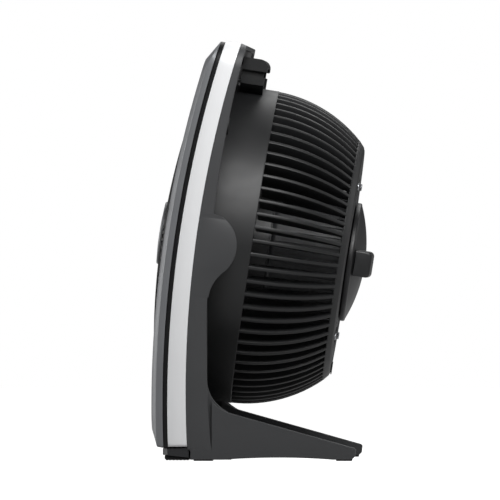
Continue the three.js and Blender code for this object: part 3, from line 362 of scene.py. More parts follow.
def metal(name, colour, roughness, lineScale=300.0, grain=0.03):
    # machined or cast metal: fine grain, small stains
    material, tree, shader, at = nodeTools(name)
    lines = noiseAt(tree, at, lineScale, 5.0)
    stain = spread(tree, noiseAt(tree, at, 60.0, 4.0), 0.0, 1.0)
    dark = tuple(c * 0.8 for c in colour)
    tree.links.new(blendColours(tree, stain, dark, colour), shader.inputs["Base Color"])
    tree.links.new(spread(tree, lines, roughness - 0.08, roughness + 0.1),
                   shader.inputs["Roughness"])
    shader.inputs["Metallic"].default_value = 1.0
    tree.links.new(bump(tree, lines, grain), shader.inputs["Normal"])
    return material


def banded(name, colour, roughness, metallic, waves, distortion):
    # wire turns or sheet edges: fine waves along the fan axis; the colour darkens in the troughs,
    # where the bump sinks, which is painted shade in the grooves between the wire turns and stands
    # for the dark joints between the sheets
    material, tree, shader, at = nodeTools(name)
    wave = addNode(tree, "TexWave", {"Scale": waves, "Distortion": distortion}, {"Vector": at})
    wave.bands_direction = "Y"
    # painted shade in the troughs of the waves, down to 0.45 of the colour
    dark = tuple(c * 0.45 for c in colour)
    tree.links.new(blendColours(tree, wave.outputs["Fac"], dark, colour),
                   shader.inputs["Base Color"])
    shader.inputs["Metallic"].default_value = metallic
    shader.inputs["Roughness"].default_value = roughness
    tree.links.new(bump(tree, wave.outputs["Fac"], 0.25), shader.inputs["Normal"])
    return material


finishes = {
    "plate": plastic("plateGrey", (0.165, 0.17, 0.179), 0.4, metallic=0.2, grain=0.006,
                     grainScale=2600.0, mottle=0.03),
    "bezel": plastic("bezelBlack", (0.004, 0.0042, 0.0048), 0.45, specular=0.25, grain=0.01,
                     mottle=0.1),
    "strip": plastic("stripSilver", (0.77, 0.775, 0.785), 0.45, specular=0.35, metallic=0.1,
                     grain=0.004, grainScale=3200.0, mottle=0.012, dust=0.03, sink=0.02),
    "charcoal": plastic("charcoalGrain", (0.036, 0.037, 0.039), 0.52, grain=0.035,
                        grainScale=1500.0, mottle=0.05),
    # painted shade: the chin's colour is darker than the legs' charcoal, for the shade it sits in,
    # set back under the head
    "chin": plastic("chinPaintedShade", (0.015, 0.0155, 0.017), 0.4, grainScale=1500.0, mottle=0.05),
    "shroud": plastic("shroudBlack", (0.011, 0.0114, 0.012), 0.48, specular=0.42, grain=0.008,
                      grainScale=2000.0, mottle=0.08),
    "handle": plastic("handleBlack", (0.0065, 0.0068, 0.0072), 0.52, specular=0.32,
                      mottle=0.08),
    "drum": plastic("drumGrey", (0.03, 0.031, 0.033), 0.5),
    "control": plastic("controlBlack", (0.009, 0.0092, 0.01), 0.42, grain=0.015),
    "rubber": plastic("rubberBlack", (0.0045, 0.0045, 0.0048), 0.82, specular=0.3, grain=0.05,
                      grainScale=900.0, mottle=0.15),
    "blade": plastic("bladeBlack", (0.0095, 0.0097, 0.0104), 0.4, grain=0.004, mottle=0.05),
    "steel": metal("plainSteel", (0.42, 0.43, 0.45), 0.36),
    "darkSteel": metal("blackSteel", (0.07, 0.071, 0.074), 0.42),
    "cast": metal("castAluminium", (0.5, 0.51, 0.53), 0.5, lineScale=900.0, grain=0.08),
    "winding": banded("copperWire", (0.42, 0.13, 0.035), 0.35, 0.9, 330.0, 0.6),
    "sheets": banded("statorSheets", (0.28, 0.29, 0.31), 0.42, 1.0, 300.0, 0.05),
}
print("materials ready:", len(finishes))

# ---- face plate ----

facePlate = {"wall": 6.3, "wallBottom": 5.8, "sideFacet": 0.8, "sideBevel": 10.5, "topBevel": 20.0,
             "bottomBevel": 16.6, "mouthRound": 2.5, "cornerGrowth": 1.1}


def plateProfile():
    # rows of insets (side, top, bottom) and of how far forward each lies (side, top, bottom);
    # the top slopes from its very back, the sides and the bottom have a short wall first
    s = facePlate
    depth = float(archAt(stripFront, 0) - bezelDepth - archAt(plateFront, 0))
    wall, foot = s["wall"] / depth, s["wallBottom"] / depth
    side, top, bottom = s["sideBevel"], s["topBevel"], s["bottomBevel"]
    return [(0.0, 0.0, 0.0, 0.0, 0.0, 0.0),
            (0.0, 0.15, 0.0, wall - 0.09, 0.02, foot - 0.07),
            (0.25, 0.6, 0.35, wall, 0.05, foot + 0.01),
            (s["sideFacet"], 2.0, 1.2, wall + 0.05, 0.12, foot + 0.05),
            (side * 0.5, top * 0.5, bottom * 0.5, 0.77, 0.52, 0.77),
            (side * 0.93, top * 0.96, bottom * 0.96, 0.985, 0.97, 0.985),
            (side * 1.12, top * 1.04, bottom * 1.05, 1.0, 1.0, 1.0)]


def makeFacePlate():
    half, top = head["half"] - head["proud"], head["top"] - head["proud"]
    sill = levelZ(archAt(stripFront, head["footZ"]) - bezelDepth, head["frameLift"])
    rows = []
    for side, up, down, forward, forwardTop, forwardBottom in plateProfile():
        x, z, _, nz = frameLoop(half - side, top - up, sill + down,
                                head["topCorner"] - 1 - side,
                                head["bottomCorner"] + facePlate["cornerGrowth"] * side)
        ends = np.where(nz > 0, forwardTop, forwardBottom)
        share = np.abs(nz) * (ends - forward) + forward
        start = archAt(stripFront, z) - bezelDepth - gap
        rows.append(np.stack([x, start + (archAt(plateFront, z) - start) * share, z], -1))
    angle = np.arctan2(rows[0][:, 2], rows[0][:, 0])
    ring = np.stack([np.cos(angle), np.sin(angle)], -1)
    edge = rows[-1]
    radius = head["opening"] + facePlate["mouthRound"]
    for f in np.linspace(0, 1, 7)[1:]:  # straight lines from the bevel to the mouth
        x = edge[:, 0] * (1 - f) + ring[:, 0] * radius * f
        z = edge[:, 2] * (1 - f) + ring[:, 1] * radius * f
        rows.append(onArch(plateFront, x, z))
    round = facePlate["mouthRound"]
    for a in np.radians([22.5, 45, 67.5, 90]):
        r = head["opening"] + round * (1 - math.sin(a))
        x, z = ring[:, 0] * r, ring[:, 1] * r
        rows.append(onArch(plateFront, x, z, round * (1 - math.cos(a))))
    x, z = ring[:, 0] * head["opening"], ring[:, 1] * head["opening"]
    rows.append(onArch(stripFront, x, z, -bezelDepth - gap))
    makePiece("facePlate", [surface(rows, wrapRows=True)], "plate", "face_plate", 24)


makeFacePlate()

# ---- black front frame: the dark line, the core under the strip and the grille's seat ----

frontFrame = {"core": 2.3, "seat": 165.4, "lip": 157.0, "lipFront": -159.8, "lipRear": -147.0,
              "round": 0.6}


def makeFrontFrame():
    s = frontFrame
    half, top = head["half"], head["top"]

    def outline(inset, lift, front, shift):
        y = archAt(front, head["footZ"]) + shift
        return frameLoop(half - inset, top - inset, levelZ(y, lift),
                         head["topCorner"] - inset, head["bottomCorner"])

    bezelInset, round = head["proud"], s["round"]
    coreLift = head["stripLift"] + s["core"]
    table = [(bezelInset + round, head["frameLift"] + round, stripFront, -bezelDepth),
             (bezelInset + 0.2, head["frameLift"] + 0.2, stripFront, -bezelDepth + 0.3),
             (bezelInset, head["frameLift"], stripFront, -bezelDepth + round + 0.2),
             (bezelInset, head["frameLift"], stripFront, -gap),
             (s["core"], coreLift, stripFront, -gap),
             (s["core"], coreLift, stripRear, 0.0),
             (s["core"] + 3, coreLift + 3, stripRear, 0.0)]
    rows = []
    for inset, lift, arch, shift in table:
        x, z = outline(inset, lift, arch, shift)[:2]
        rows.append(onArch(arch, x, z, shift))
    angle = np.arctan2(rows[0][:, 2], rows[0][:, 0])
    cx, cz = np.cos(angle), np.sin(angle)

    def circle(radius, arch=None, shift=0.0, y=None):
        x, z = cx * radius, cz * radius
        depth = archAt(arch, z) + shift if y is None else np.full_like(x, y)
        return np.stack([x, depth, z], -1)

    seat, lip = s["seat"], s["lip"]
    rows += [circle(seat + 2.5, stripRear), circle(seat, y=s["lipRear"]),
             circle(lip, y=s["lipRear"]), circle(lip, y=s["lipFront"]),
             circle(seat - 0.4, y=s["lipFront"])]
    front = circle(seat, stripFront, -bezelDepth)
    front[:, 1] = np.minimum(front[:, 1], s["lipFront"])
    rows += [front, circle(seat + 0.6, stripFront, -bezelDepth)]
    makePiece("frontFrame", [surface(rows, wrapRows=True)], "bezel", "front_frame", 30)


makeFrontFrame()

# ---- silver strip ----

trimStrip = {"thick": 2.0, "round": 0.45}


def makeTrimStrip():
    s = trimStrip
    rows = []
    t, r = s["thick"], s["round"]
    section = [(r, stripFront, 0.0), (0.12, stripFront, 0.12), (0.0, stripFront, r),
               (0.0, stripRear, -r), (0.12, stripRear, -0.12), (r, stripRear, 0.0),
               (t, stripRear, 0.0), (t, stripFront, 0.0)]
    for inset, arch, shift in section:
        y = archAt(arch, head["footZ"]) + shift
        x, z, _, _ = frameLoop(head["half"] - inset, head["top"] - inset,
                               levelZ(y, head["stripLift"]) + inset,
                               head["topCorner"] - inset, head["bottomCorner"])
        rows.append(onArch(arch, x, z, shift))
    makePiece("trimStrip", [surface(rows, wrapRows=True)], "strip", "trim_strip", 50)


makeTrimStrip()
print("front pieces made")

# ---- rear frame: side walls with the round pivot ears, and the closing wall ----

rearFrame = {"wall": 4.6, "closure": 3.0, "earY": -139.6, "earZ": -5.2, "earRadius": 34.0,
             "earTop": 62.0, "earFoot": -44.1, "blend": 37.4, "hole": 157.0, "round": 0.9}


def hollowCentre():
    # of the arc that runs from the ear's circle into the arch below
    s = rearFrame
    foot, reach = math.radians(s["earFoot"]), s["earRadius"] + s["blend"]
    return s["earY"] + reach * math.cos(foot), s["earZ"] + reach * math.sin(foot)


def rearEdge(z):
    # the walls' rear edge in the side view: the arch, and in its middle the ear's circle,
    # which runs into the arch below through a hollow arc
    s = rearFrame
    top, foot = math.radians(s["earTop"]), math.radians(s["earFoot"])
    blendY, blendZ = hollowCentre()
    highEar = s["earZ"] + s["earRadius"] * math.sin(top)
    lowEar = s["earZ"] + s["earRadius"] * math.sin(foot)
    y = archAt(panelRear, z)
    onEar = (z <= highEar) & (z >= lowEar)
    ear = s["earY"] + np.sqrt(np.maximum(s["earRadius"] ** 2 - (z - s["earZ"]) ** 2, 0))
    onBlend = (z < lowEar) & (z >= blendZ)
    hollow = blendY - np.sqrt(np.maximum(s["blend"] ** 2 - (z - blendZ) ** 2, 0))
    onStep = (z > highEar) & (z < highEar + 2)
    f = np.clip((z - highEar) / 2, 0, 1)
    ledge = (s["earY"] + s["earRadius"] * math.cos(top)) * (1 - f) + y * f
    y = np.where(onEar, ear, np.where(onBlend, np.maximum(hollow, y), y))
    return np.where(onStep, ledge, y)


def makeRearFrame():
    s = rearFrame
    bottom = levelZ(-140, head["frameLift"])
    top = head["top"] - head["proud"]
    half = head["half"] - head["proud"]
    round, wall = s["round"], s["wall"]
    sideZ = np.sort(np.concatenate([np.linspace(-202, 172, 70), np.linspace(-58, -26, 20),
                                    np.linspace(-30, 24.7, 44), [24.8, 25.3, 26.8, 28.0]]))
    x, z, nx, nz = frameLoop(half, top, bottom, head["topCorner"] - 1, head["bottomCorner"], sideZ)
    floorPart = nz < -0.99
    closed = archAt(stripRear, z) + gap + s["closure"]
    rear = np.where(floorPart, closed, np.maximum(rearEdge(z), closed))
    normalX, normalZ = nx.copy(), nz.copy()
    lower = nz < -0.01
    normalX[lower] = np.sign(x[lower])
    normalZ[lower] = 0.0
    flat = floorPart | (rear <= closed + 0.01)

    def row(inset, y):
        inset = np.where(flat, 0.0, inset)
        return np.stack([x - normalX * inset, y, z - normalZ * inset], -1)

    rows = [row(0.0, archAt(stripRear, z) + gap), row(0.0, rear - round),
            row(round * 0.3, rear - round * 0.3), row(round, rear),
            row(wall - round, rear), row(wall - round * 0.3, rear - round * 0.3),
            row(wall, rear - round)]
    inner = row(wall, closed)
    rows.append(inner)
    angle = np.arctan2(z, x)
    hx, hz = np.cos(angle) * s["hole"], np.sin(angle) * s["hole"]

    def wallRow(edgeX, edgeZ, f, shift):
        # of the closing wall, at that share of the way from its edge to the hole
        return onArch(stripRear, edgeX * (1 - f) + hx * f, edgeZ * (1 - f) + hz * f, shift)

    back = gap + s["closure"]
    rows += [wallRow(inner[:, 0], inner[:, 2], f, back) for f in np.linspace(0, 1, 10)[1:]]
    rows += [wallRow(x, z, f, gap) for f in np.linspace(1, 0, 9)[:-1]]
    makePiece("rearFrame", [surface(rows, wrapRows=True)], "charcoal", "rear_frame", 35)


makeRearFrame()

# ---- rear grille: smooth shroud, fins on a round bowl, rear ring, pivot bosses, lugs ----

rearGrille = {"shroud": 156.2, "wall": 3.2, "front": -146.7, "slotFront": -92.0,
              "bowlCentre": -97.0, "bowl": 133.0, "fins": 72, "finThick": 3.4,
              "finDepths": ((-95.0, 2.4), (-91.4, 2.6), (-91.2, 21.0), (-65.8, 23.8),
                            (-40.0, 21.0), (-22.0, 15.5), (-5.0, 6.0)),
              "ringDepth": 7.0, "ringInner": 98.5, "boss": 10.5, "bossHole": 6.4,
              "bossEnd": 172.6, "lug": 7.5, "lugOut": 163.0, "lugThick": 4.6,
              "lugHole": 2.15, "lugSink": 4.0, "lugSeat": 2.3, "webHalf": 6.5, "webIn": 1.5,
              "webOut": 3.5, "finRows": 14, "bossIn": 0.6, "bossChamfer": 0.8}


def bowlAt(y):
    # circle arc outside the fins: r = shroud - bowl + sqrt(bowl^2 - (y - centre)^2)
    s = rearGrille
    inside = s["bowl"] ** 2 - (np.asarray(y, float) - s["bowlCentre"]) ** 2
    return s["shroud"] - s["bowl"] + np.sqrt(inside)


def crossTube(outer, inner, x0, x1, chamfer, count=48):
    # a hollow cylinder round the tilt axis with a chamfered end
    profile = np.array([(outer, x0), (outer, x1 - chamfer), (outer - chamfer, x1),
                        (inner + 0.3, x1), (inner, x1 - 0.3), (inner, x0)])
    a = np.linspace(0, 2 * np.pi, count, endpoint=False)
    rows = np.stack([np.repeat(profile[:, 1:2], count, 1),
                     head["pivotY"] + profile[:, :1] * np.cos(a),
                     head["pivotZ"] + profile[:, :1] * np.sin(a)], -1)
    return surface(rows, wrapRows=True)


def radialBlock(r0, r1, half, c, n, y0, y1):
    # a block along the radius whose direction is (c, n)
    corner = np.array([(r0, -half), (r1, -half), (r1, half), (r0, half)], float)
    x = corner[:, 0] * c - corner[:, 1] * n
    z = corner[:, 0] * n + corner[:, 1] * c
    return surface([np.column_stack([x, np.full(4, y), z]) for y in (y0, y1)], caps=True)


def lugFace(z):
    edges = archAt(stripRear, np.array([z - rearGrille["lug"], z + rearGrille["lug"]]))
    return float(edges.max()) + rearFrame["closure"] + 2 * gap


def makeRearGrille():
    s = rearGrille
    inner = s["shroud"] - s["wall"]
    shroud = rounded([(inner, s["front"], 0.5), (s["shroud"], s["front"], 0.8),
                      (s["shroud"], s["slotFront"], 0.9), (inner, s["slotFront"], 0.5)], 4)
    parts = [turned(shroud, sides["bowl"])]
    deep = s["ringDepth"]
    brim, bend, edge = bowlAt([0.0, -1.2, -deep])
    ring = [(s["ringInner"], 0.0, 0.6), (brim - 3.0, 0.0, 1.2), (bend - 1.0, -1.2, 1.0),
            (edge, -deep, 0.8), (edge - 8, -deep, 0.5), (s["ringInner"], -5.5, 0.5)]
    parts.append(turned(rounded(ring, 4), sides["bowl"]))
    # fins: a rounded section carried along the bowl's arc, copied round the axis
    depthY, depths = np.array(s["finDepths"]).T
    y = np.concatenate([depthY[:3], np.linspace(-86, 2 - deep, s["finRows"])])
    outer = bowlAt(y) - 0.25
    depth = np.interp(y, depthY, depths)
    half = s["finThick"] / 2
    section = np.array([(0, -half + 0.7), (0, half - 0.7), (-0.25, half - 0.2), (-0.8, half),
                        (-1, half), (-1, -half), (-0.8, -half), (-0.25, -half + 0.2)])
    inmost = section[:, 0] <= -1  # these corners lie at the fin's depth, the others as given
    radial = outer[:, None] + np.where(inmost, -depth[:, None], section[:, 0])
    parts += allRound(radial, section[:, 1], y[:, None], s["fins"], 0.5)
    for side in (-1, 1):
        parts.append(crossTube(s["boss"], s["bossHole"], side * (inner + s["bossIn"]),
                               side * s["bossEnd"], side * s["bossChamfer"]))
    hole, sink, out = s["lugHole"], s["lugSink"], s["lugOut"]
    for c, n in fixings:
        face = lugFace(n * out)
        back, seat = face + s["lugThick"], face + s["lugSeat"]
        pad = rounded([(hole, face, 0.1), (s["lug"], face, 0.4), (s["lug"], back, 0.8),
                       (sink, back, 0.3), (sink, seat, 0.2), (hole, seat, 0.1)], 3)
        parts.append(turned(pad, sides["pad"], (c * out, n * out)))
        parts.append(radialBlock(inner + s["webIn"], out - s["webOut"], s["webHalf"], c, n,
                                 face + 0.1, back - 0.1))
    makePiece("rearGrille", parts, "shroud", "rear_grille", 38)


makeRearGrille()
print("rear frame and grille made")

# ---- motor bucket: drum with ribs, collar and dust rim; intake plate round it ----

motorBucket = {"radius": 62.0, "wall": 2.6, "front": -77.0, "hole": 12.0, "ribs": 36,
               "collar": 65.4, "collarFront": -7.4, "collarRear": -4.8,
               "dust": (54.1, 56.5), "dustFront": -82.0, "coverSeat": 54.4,
               "ribSink": 0.5, "ribStand": 1.1, "ribFrom": 6.0, "ribTo": -8.6, "ribThick": 1.6}
intakePlate = {"seat": (62.3, 66.4), "rim": (86.2, 98.2), "bars": 24, "barThick": 3.0,
               "depth": 4.5, "tabRoot": 93.2, "tabHalf": 6.0, "tabFront": -10.1, "tabRear": -7.5}


def ringMiddle():
    # how far from the axis the bucket's screws stand
    return (rearGrille["ringInner"] + bowlAt(0)) / 2 - 1


def barsRound(count, r0, r1, y0, y1, thick, shift=0.5):
    # flat bars that stand out from the axis: corners (r, y, side) turned by each angle
    r = np.array([r0, r0, r0, r0, r1, r1, r1, r1]).reshape(2, 4)
    side = np.tile(np.array([-1, 1, 1, -1]) * thick / 2, (2, 1))
    return allRound(r, side, np.array([y0, y0, y1, y1], float), count, shift)


def makeMotorBucket():
    s = motorBucket
    r, inner, front = s["radius"], s["radius"] - s["wall"], s["front"]
    low, high, back, seat = s["collarFront"], s["collarRear"], front + s["wall"], s["coverSeat"]
    cup = rounded([(s["hole"], front, 0.5), (r, front, 5.0), (r, low, 0.4),
                   (s["collar"], low, 0.4), (s["collar"], high, 0.4), (r, high, 0.2),
                   (r, -gap, 0.4), (seat, -gap, 0.3), (seat, -3, 0.3), (inner, -3, 0.3),
                   (inner, back, 3.0), (s["hole"], back, 0.3)], 5)
    parts = [turned(cup, sides["drum"])]
    d0, d1 = s["dust"]
    rim = rounded([(d0, s["dustFront"], 0.8), (d1, s["dustFront"], 0.8), (d1, front + 0.5, 0.1),
                   (d0, front + 0.5, 0.1)], 4)
    parts.append(turned(rim, sides["drum"]))
    parts += barsRound(s["ribs"], r - s["ribSink"], r + s["ribStand"], front + s["ribFrom"],
                       s["ribTo"], s["ribThick"], 0.0)
    makePiece("motorBucket", parts, "drum", "motor_bucket", 35)


makeMotorBucket()


def makeIntakePlate():
    s = intakePlate
    parts = []
    for r0, r1 in (s["seat"], s["rim"]):
        parts.append(turned(rounded([(r0, -s["depth"], 0.6), (r1, -s["depth"], 0.6),
                                     (r1, -gap, 0.8), (r0, -gap, 0.8)], 4), sides["drum"]))
    parts += barsRound(s["bars"], s["seat"][1] - 0.6, s["rim"][0] + 1, -s["depth"] + 0.2,
                       -gap - 0.2, s["barThick"])
    root = s["tabRoot"]
    for c, n in fixings:
        for r1, y1 in ((ringMiddle() + 5, s["tabRear"]), (root + 4, 0.5 - s["depth"])):
            parts.append(radialBlock(root, r1, s["tabHalf"], c, n, s["tabFront"], y1))
    makePiece("intakePlate", parts, "drum", "intake_plate", 35)


makeIntakePlate()

# ---- control cover and speed knob ----

controlCover = {"radius": 59.0, "edge": 6.0, "dome": 11.5, "wall": 2.6, "hole": 4.6}
coverEdge, coverRise = controlCover["radius"] - 2, controlCover["dome"]
coverSphere = (coverEdge ** 2 + coverRise ** 2) / (2 * coverRise)


def coverY(radius):
    # the dome is part of a sphere: y = edge + dome - (R - sqrt(R^2 - r^2))
    drop = coverSphere - np.sqrt(coverSphere ** 2 - np.asarray(radius, float) ** 2)
    return controlCover["edge"] + coverRise - drop


def makeControlCover():
    s = controlCover
    r, wall = s["radius"], s["wall"]
    out = np.linspace(coverEdge, s["hole"], 30)
    back = np.linspace(s["hole"], r - wall - 2, 16)
    edge = rounded([(r, gap, 0.2), (r, s["edge"], 1.8),
                    (coverEdge - 0.2, coverY(coverEdge) + 0.1, 0.0)], 6)
    profile = np.vstack([edge[:-1], np.column_stack([out, coverY(out)]),
                         np.column_stack([back, coverY(back) - wall]), [(r - wall - 1, gap)]])
    makePiece("controlCover", [turned(profile, sides["drum"])], "control", "control_cover", 40)


makeControlCover()

speedKnob = {"half": 54.0, "tall": 13.0, "rear": 24.6, "round": 4.5, "clear": 1.2,
             "endRound": 2.5, "between": 31}


def makeSpeedKnob():
    # sections across the bar, each a rounded box whose underside follows the dome
    s = speedKnob
    arc = np.linspace(0, np.pi / 2, 7)
    leftX = -s["half"] + s["endRound"] * (1 - np.cos(arc))
    leftIn = s["endRound"] * (1 - np.sin(arc))
    middle = np.linspace(leftX[-1], -leftX[-1], s["between"] + 2)[1:-1]
    x = np.concatenate([leftX, middle, -leftX[::-1]])
    inset = np.concatenate([leftIn, np.zeros(s["between"]), leftIn[::-1]])
    rows = []
    for at, shrink in zip(x, inset):
        tall, rear, round = s["tall"] - shrink, s["rear"] - shrink, s["round"]
        z = np.concatenate([[-tall, -tall], -tall + round * (1 - np.cos(arc)),
                            tall - round * (1 - np.sin(arc)), [tall, tall],
                            np.linspace(tall, -tall, 9)[1:-1]])
        low = coverY(np.minimum(np.hypot(at, z), coverEdge)) + s["clear"]
        y = np.concatenate([[0, 0], rear - round * (1 - np.sin(arc)),
                            rear - round * (1 - np.cos(arc)), [0, 0], np.zeros(7)])
        y[0], y[1] = low[0], low[1] + 2
        y[16], y[17] = low[16] + 2, low[17]
        y[18:] = low[18:]
        rows.append(np.stack([np.full_like(z, at), y, z], -1))
    makePiece("speedKnob", [surface(rows, caps=True)], "control", "speed_knob", 40, "knob")


makeSpeedKnob()
print("bucket, cover and knob made")

# ---- front grille: domed rim, swept bars, rings and hub; its plain cap ----

frontGrille = {"rim": 7.5, "dome": 19.6, "front": -166.0, "depth": 5.6, "bars": 44, "thick": 2.2,
               "barDepth": 4.0, "sweep": 52.0, "rings": (70.0, 104.0, 134.0), "ringHalf": 1.3,
               "hub": 34.0, "hubStep": 1.2, "hubDepth": 5.0, "cap": 31.0,
               "capRise": (4.6, 4.2, 3.0)}
grilleOuter = head["opening"] - 1
domeRadius = (grilleOuter ** 2 + frontGrille["dome"] ** 2) / (2 * frontGrille["dome"])


def domeY(radius):
    # the grille's front is part of a sphere
    s = frontGrille
    drop = domeRadius - np.sqrt(domeRadius ** 2 - np.asarray(radius, float) ** 2)
    return s["front"] - s["dome"] + drop


def makeFrontGrille():
    s = frontGrille
    inner, front, back = grilleOuter - s["rim"], s["front"], s["front"] + s["depth"]
    rim = rounded([(inner, domeY(inner), 1.5), (grilleOuter, front, 1.8),
                   (grilleOuter, back, 0.3), (inner, back, 0.5)], 5)
    parts = [turned(rim, sides["rim"])]
    for radius in s["rings"]:
        y, low, high = domeY(radius), radius - s["ringHalf"], radius + s["ringHalf"]
        ring = rounded([(low, y, 1.1), (high, y, 1.1), (high, y + s["barDepth"], 0.5),
                        (low, y + s["barDepth"], 0.5)], 3)
        parts.append(turned(ring, sides["ring"]))
    r, hubY = s["hub"], domeY(s["hub"])
    floor, rear = hubY + s["hubStep"], hubY + s["hubDepth"]
    hub = rounded([(0.01, floor, 0.0), (r - 2, floor, 0.2), (r - 2, hubY, 0.5),
                   (r, hubY, 0.5), (r, rear, 0.4), (0.01, rear, 0.0)], 3)
    parts.append(turned(hub, sides["hub"]))
    # bars: radius r and angle turn + sweep * f^2, on the dome
    f = np.linspace(0, 1, 22)
    r = (s["hub"] - 1) + (grilleOuter - 3 - s["hub"]) * f
    half = s["thick"] / 2
    across = np.array([-half + 0.5, half - 0.5, half, half, -half, -half])
    depth = np.array([0.0, 0.0, 0.6, s["barDepth"], s["barDepth"], 0.6])
    angle = np.radians(s["sweep"]) * f[:, None] ** 2 + across / r[:, None]
    parts += allSwept(r[:, None], angle, domeY(r)[:, None] + depth, s["bars"])
    makePiece("frontGrille", parts, "bezel", "front_grille", 35)
    r, back = s["cap"], floor - gap
    middle, halfway, edge = s["capRise"]
    cap = rounded([(0.01, back - middle, 0.0), (r / 2, back - halfway, 8.0),
                   (r, back - edge, 1.4), (r, back, 0.2), (0.01, back, 0.0)], 6)
    makePiece("grilleCap", [turned(cap, sides["hub"])], "plate", "grille_cap", 30)


makeFrontGrille()

# ---- impeller ----

impeller = {"blades": 5, "tip": 141.0, "hub": 60.0, "front": -136.0, "rear": -78.2, "mid": -114.0,
            "boss": (4.3, 9.0, 11.0), "bossRear": -82.2, "thick": 2.6, "rootPitch": 34.0,
            "tipPitch": 20.0, "rootArc": 40.0, "tipArc": 56.0, "sweep": 18.0, "spanRows": 26,
            "chordRows": 18, "thinEdge": 0.35, "tipCut": 0.32, "tipFrom": 0.82, "tipSpan": 0.18}


def makeImpeller():
    s = impeller
    front, rear, floor = s["front"], s["rear"], s["front"] + 8
    wide, inner, (bore, bossTip, bossRoot) = s["hub"], s["hub"] - 2.5, s["boss"]
    hub = rounded([(bore, front, 0.3), (wide, front, 8.0), (wide, rear, 0.8), (inner, rear, 0.4),
                   (inner, floor, 2.0), (bossRoot, floor, 1.5), (bossTip, s["bossRear"], 0.4),
                   (bore, s["bossRear"], 0.3)], 6)
    parts = [turned(hub, sides["hub"])]
    # blades: u runs from root to tip and v along one face and back along the other
    u = np.linspace(0, 1, s["spanRows"])[:, None]
    v = np.linspace(0, 1, s["chordRows"])
    v = np.concatenate([v, v[::-1]])[None]
    side = np.repeat([-1.0, 1.0], s["chordRows"])[None]
    plump = s["thinEdge"] + (1 - s["thinEdge"]) * np.sqrt(np.clip(4 * v * (1 - v), 0, 1))
    radius = (s["hub"] - 3) + (s["tip"] - s["hub"] + 3) * u
    arc = np.radians(s["rootArc"] + (s["tipArc"] - s["rootArc"]) * u)
    pitch = s["rootPitch"] + (s["tipPitch"] - s["rootPitch"]) * u
    end = np.clip((u - s["tipFrom"]) / s["tipSpan"], 0, 1)
    corner = 1 - s["tipCut"] * end ** 2  # rounded blade tips
    angle = (v - 0.5) * arc * corner + np.radians(s["sweep"]) * u ** 2
    y = s["mid"] + (v - 0.5) * pitch * corner + side * s["thick"] / 2 * plump
    parts += allSwept(radius, angle, y, s["blades"])
    makePiece("impellerBlades", parts, "blade", "impeller", 40, "rotor")


makeImpeller()
print("front grille and impeller made")

# ---- carry handle ----

carryHandle = {"half": 60.0, "top": 184.5, "bar": 8.5, "end": 12.0, "rear": -105.8, "round": 8.0,
               "postIn": 45.5, "postOut": 54.5, "postRear": -109.0, "footIn": 43.5,
               "footOut": 61.5, "footRear": -107.5, "footTop": 167.0, "footLow": 149.0,
               "footRise": 0.545, "ribs": 4, "ribFirst": 4.2, "ribStep": 2.6, "ribWide": 1.2,
               "ribSink": 0.5, "ribStand": 0.35,
               "screw": (52.0, 161.0, -121.0, -136.8)}  # x, z, seat, tip


def makeCarryHandle():
    s = carryHandle
    front = float(archAt(stripRear, s["top"])) + rearFrame["closure"] + 2 * gap
    prisms = []
    for thick, spans in ((s["bar"], ((-s["postIn"] - 0.5, s["postIn"] + 0.5),)),
                         (s["end"], ((-s["half"], -s["postIn"]), (s["postIn"], s["half"])))):
        low = s["top"] - thick
        outline = rounded([(front, low, 0.0), (s["rear"], low, 1.5),
                           (s["rear"], s["top"], s["round"]), (front, s["top"], 0.0)], 8)
        prisms += [sidePrism(outline, *span) for span in spans]
    rise = s["footRise"]

    def under(x):
        return s["footLow"] + rise * (x - s["footIn"])

    for side in (-1, 1):
        for x0, x1, high, rear in ((s["postIn"], s["postOut"], s["top"] - 3, s["postRear"]),
                                   (s["footIn"], s["footOut"], s["footTop"], s["footRear"])):
            outline = [(side * x0, under(x0)), (side * x1, under(x1)), (side * x1, high),
                       (side * x0, high)]
            prisms.append(frontPrism(outline, front, rear))
    low, high, out = under(s["footOut"]) + 1.2, s["footTop"] - 1.6, s["footOut"]
    for k in range(s["ribs"]):  # fine grip ribs on the feet's outer faces
        y0 = s["footRear"] - s["ribFirst"] - s["ribStep"] * k
        y1 = y0 + s["ribWide"]
        rib = [(y0, low), (y1, low), (y1, high), (y0, high)]
        prisms += [sidePrism(rib, side * (out - s["ribSink"]), side * (out + s["ribStand"]))
                   for side in (-1, 1)]
    prismPiece("carryHandle", prisms, "handle", "carry_handle", 0.7, "head", headPlace)


makeCarryHandle()

# ---- base: legs with arms, crossbar, pads ----

legs = {"outer": 192.5, "wide": 24.5, "front": -31.2, "seam": -10.4, "toeTop": 11.4,
        "tipY": 130.9, "tipTop": 12.2, "slope": 15.7, "curve": 38.0, "curveEnd": 8.9,
        "sole": 1.2, "archLift": 5.4, "archFront": 1.0, "archMiddle": 56.8, "archRear": 108.7}
arms = {"outer": 187.3, "inner": 174.4, "wide": 11.9, "shy": 1.2, "hub": 10.8,
        "hubArc": (156, -45), "hollowArc": (124, 180), "flareTop": 80, "flareBend": 58,
        "flareFoot": 46}


def curveTo(a, middle, b, steps=10):
    # a quadratic curve from a to b drawn towards middle
    f = np.linspace(0, 1, steps + 1)[1:, None]
    a, middle, b = (np.array(p, float) for p in (a, middle, b))
    return (1 - f) ** 2 * a + 2 * f * (1 - f) * middle + f ** 2 * b


def arcOf(cy, cz, radius, start, end, steps=16):
    a = np.radians(np.linspace(start, end, steps + 1))
    return np.stack([cy + radius * np.cos(a), cz + radius * np.sin(a)], -1)


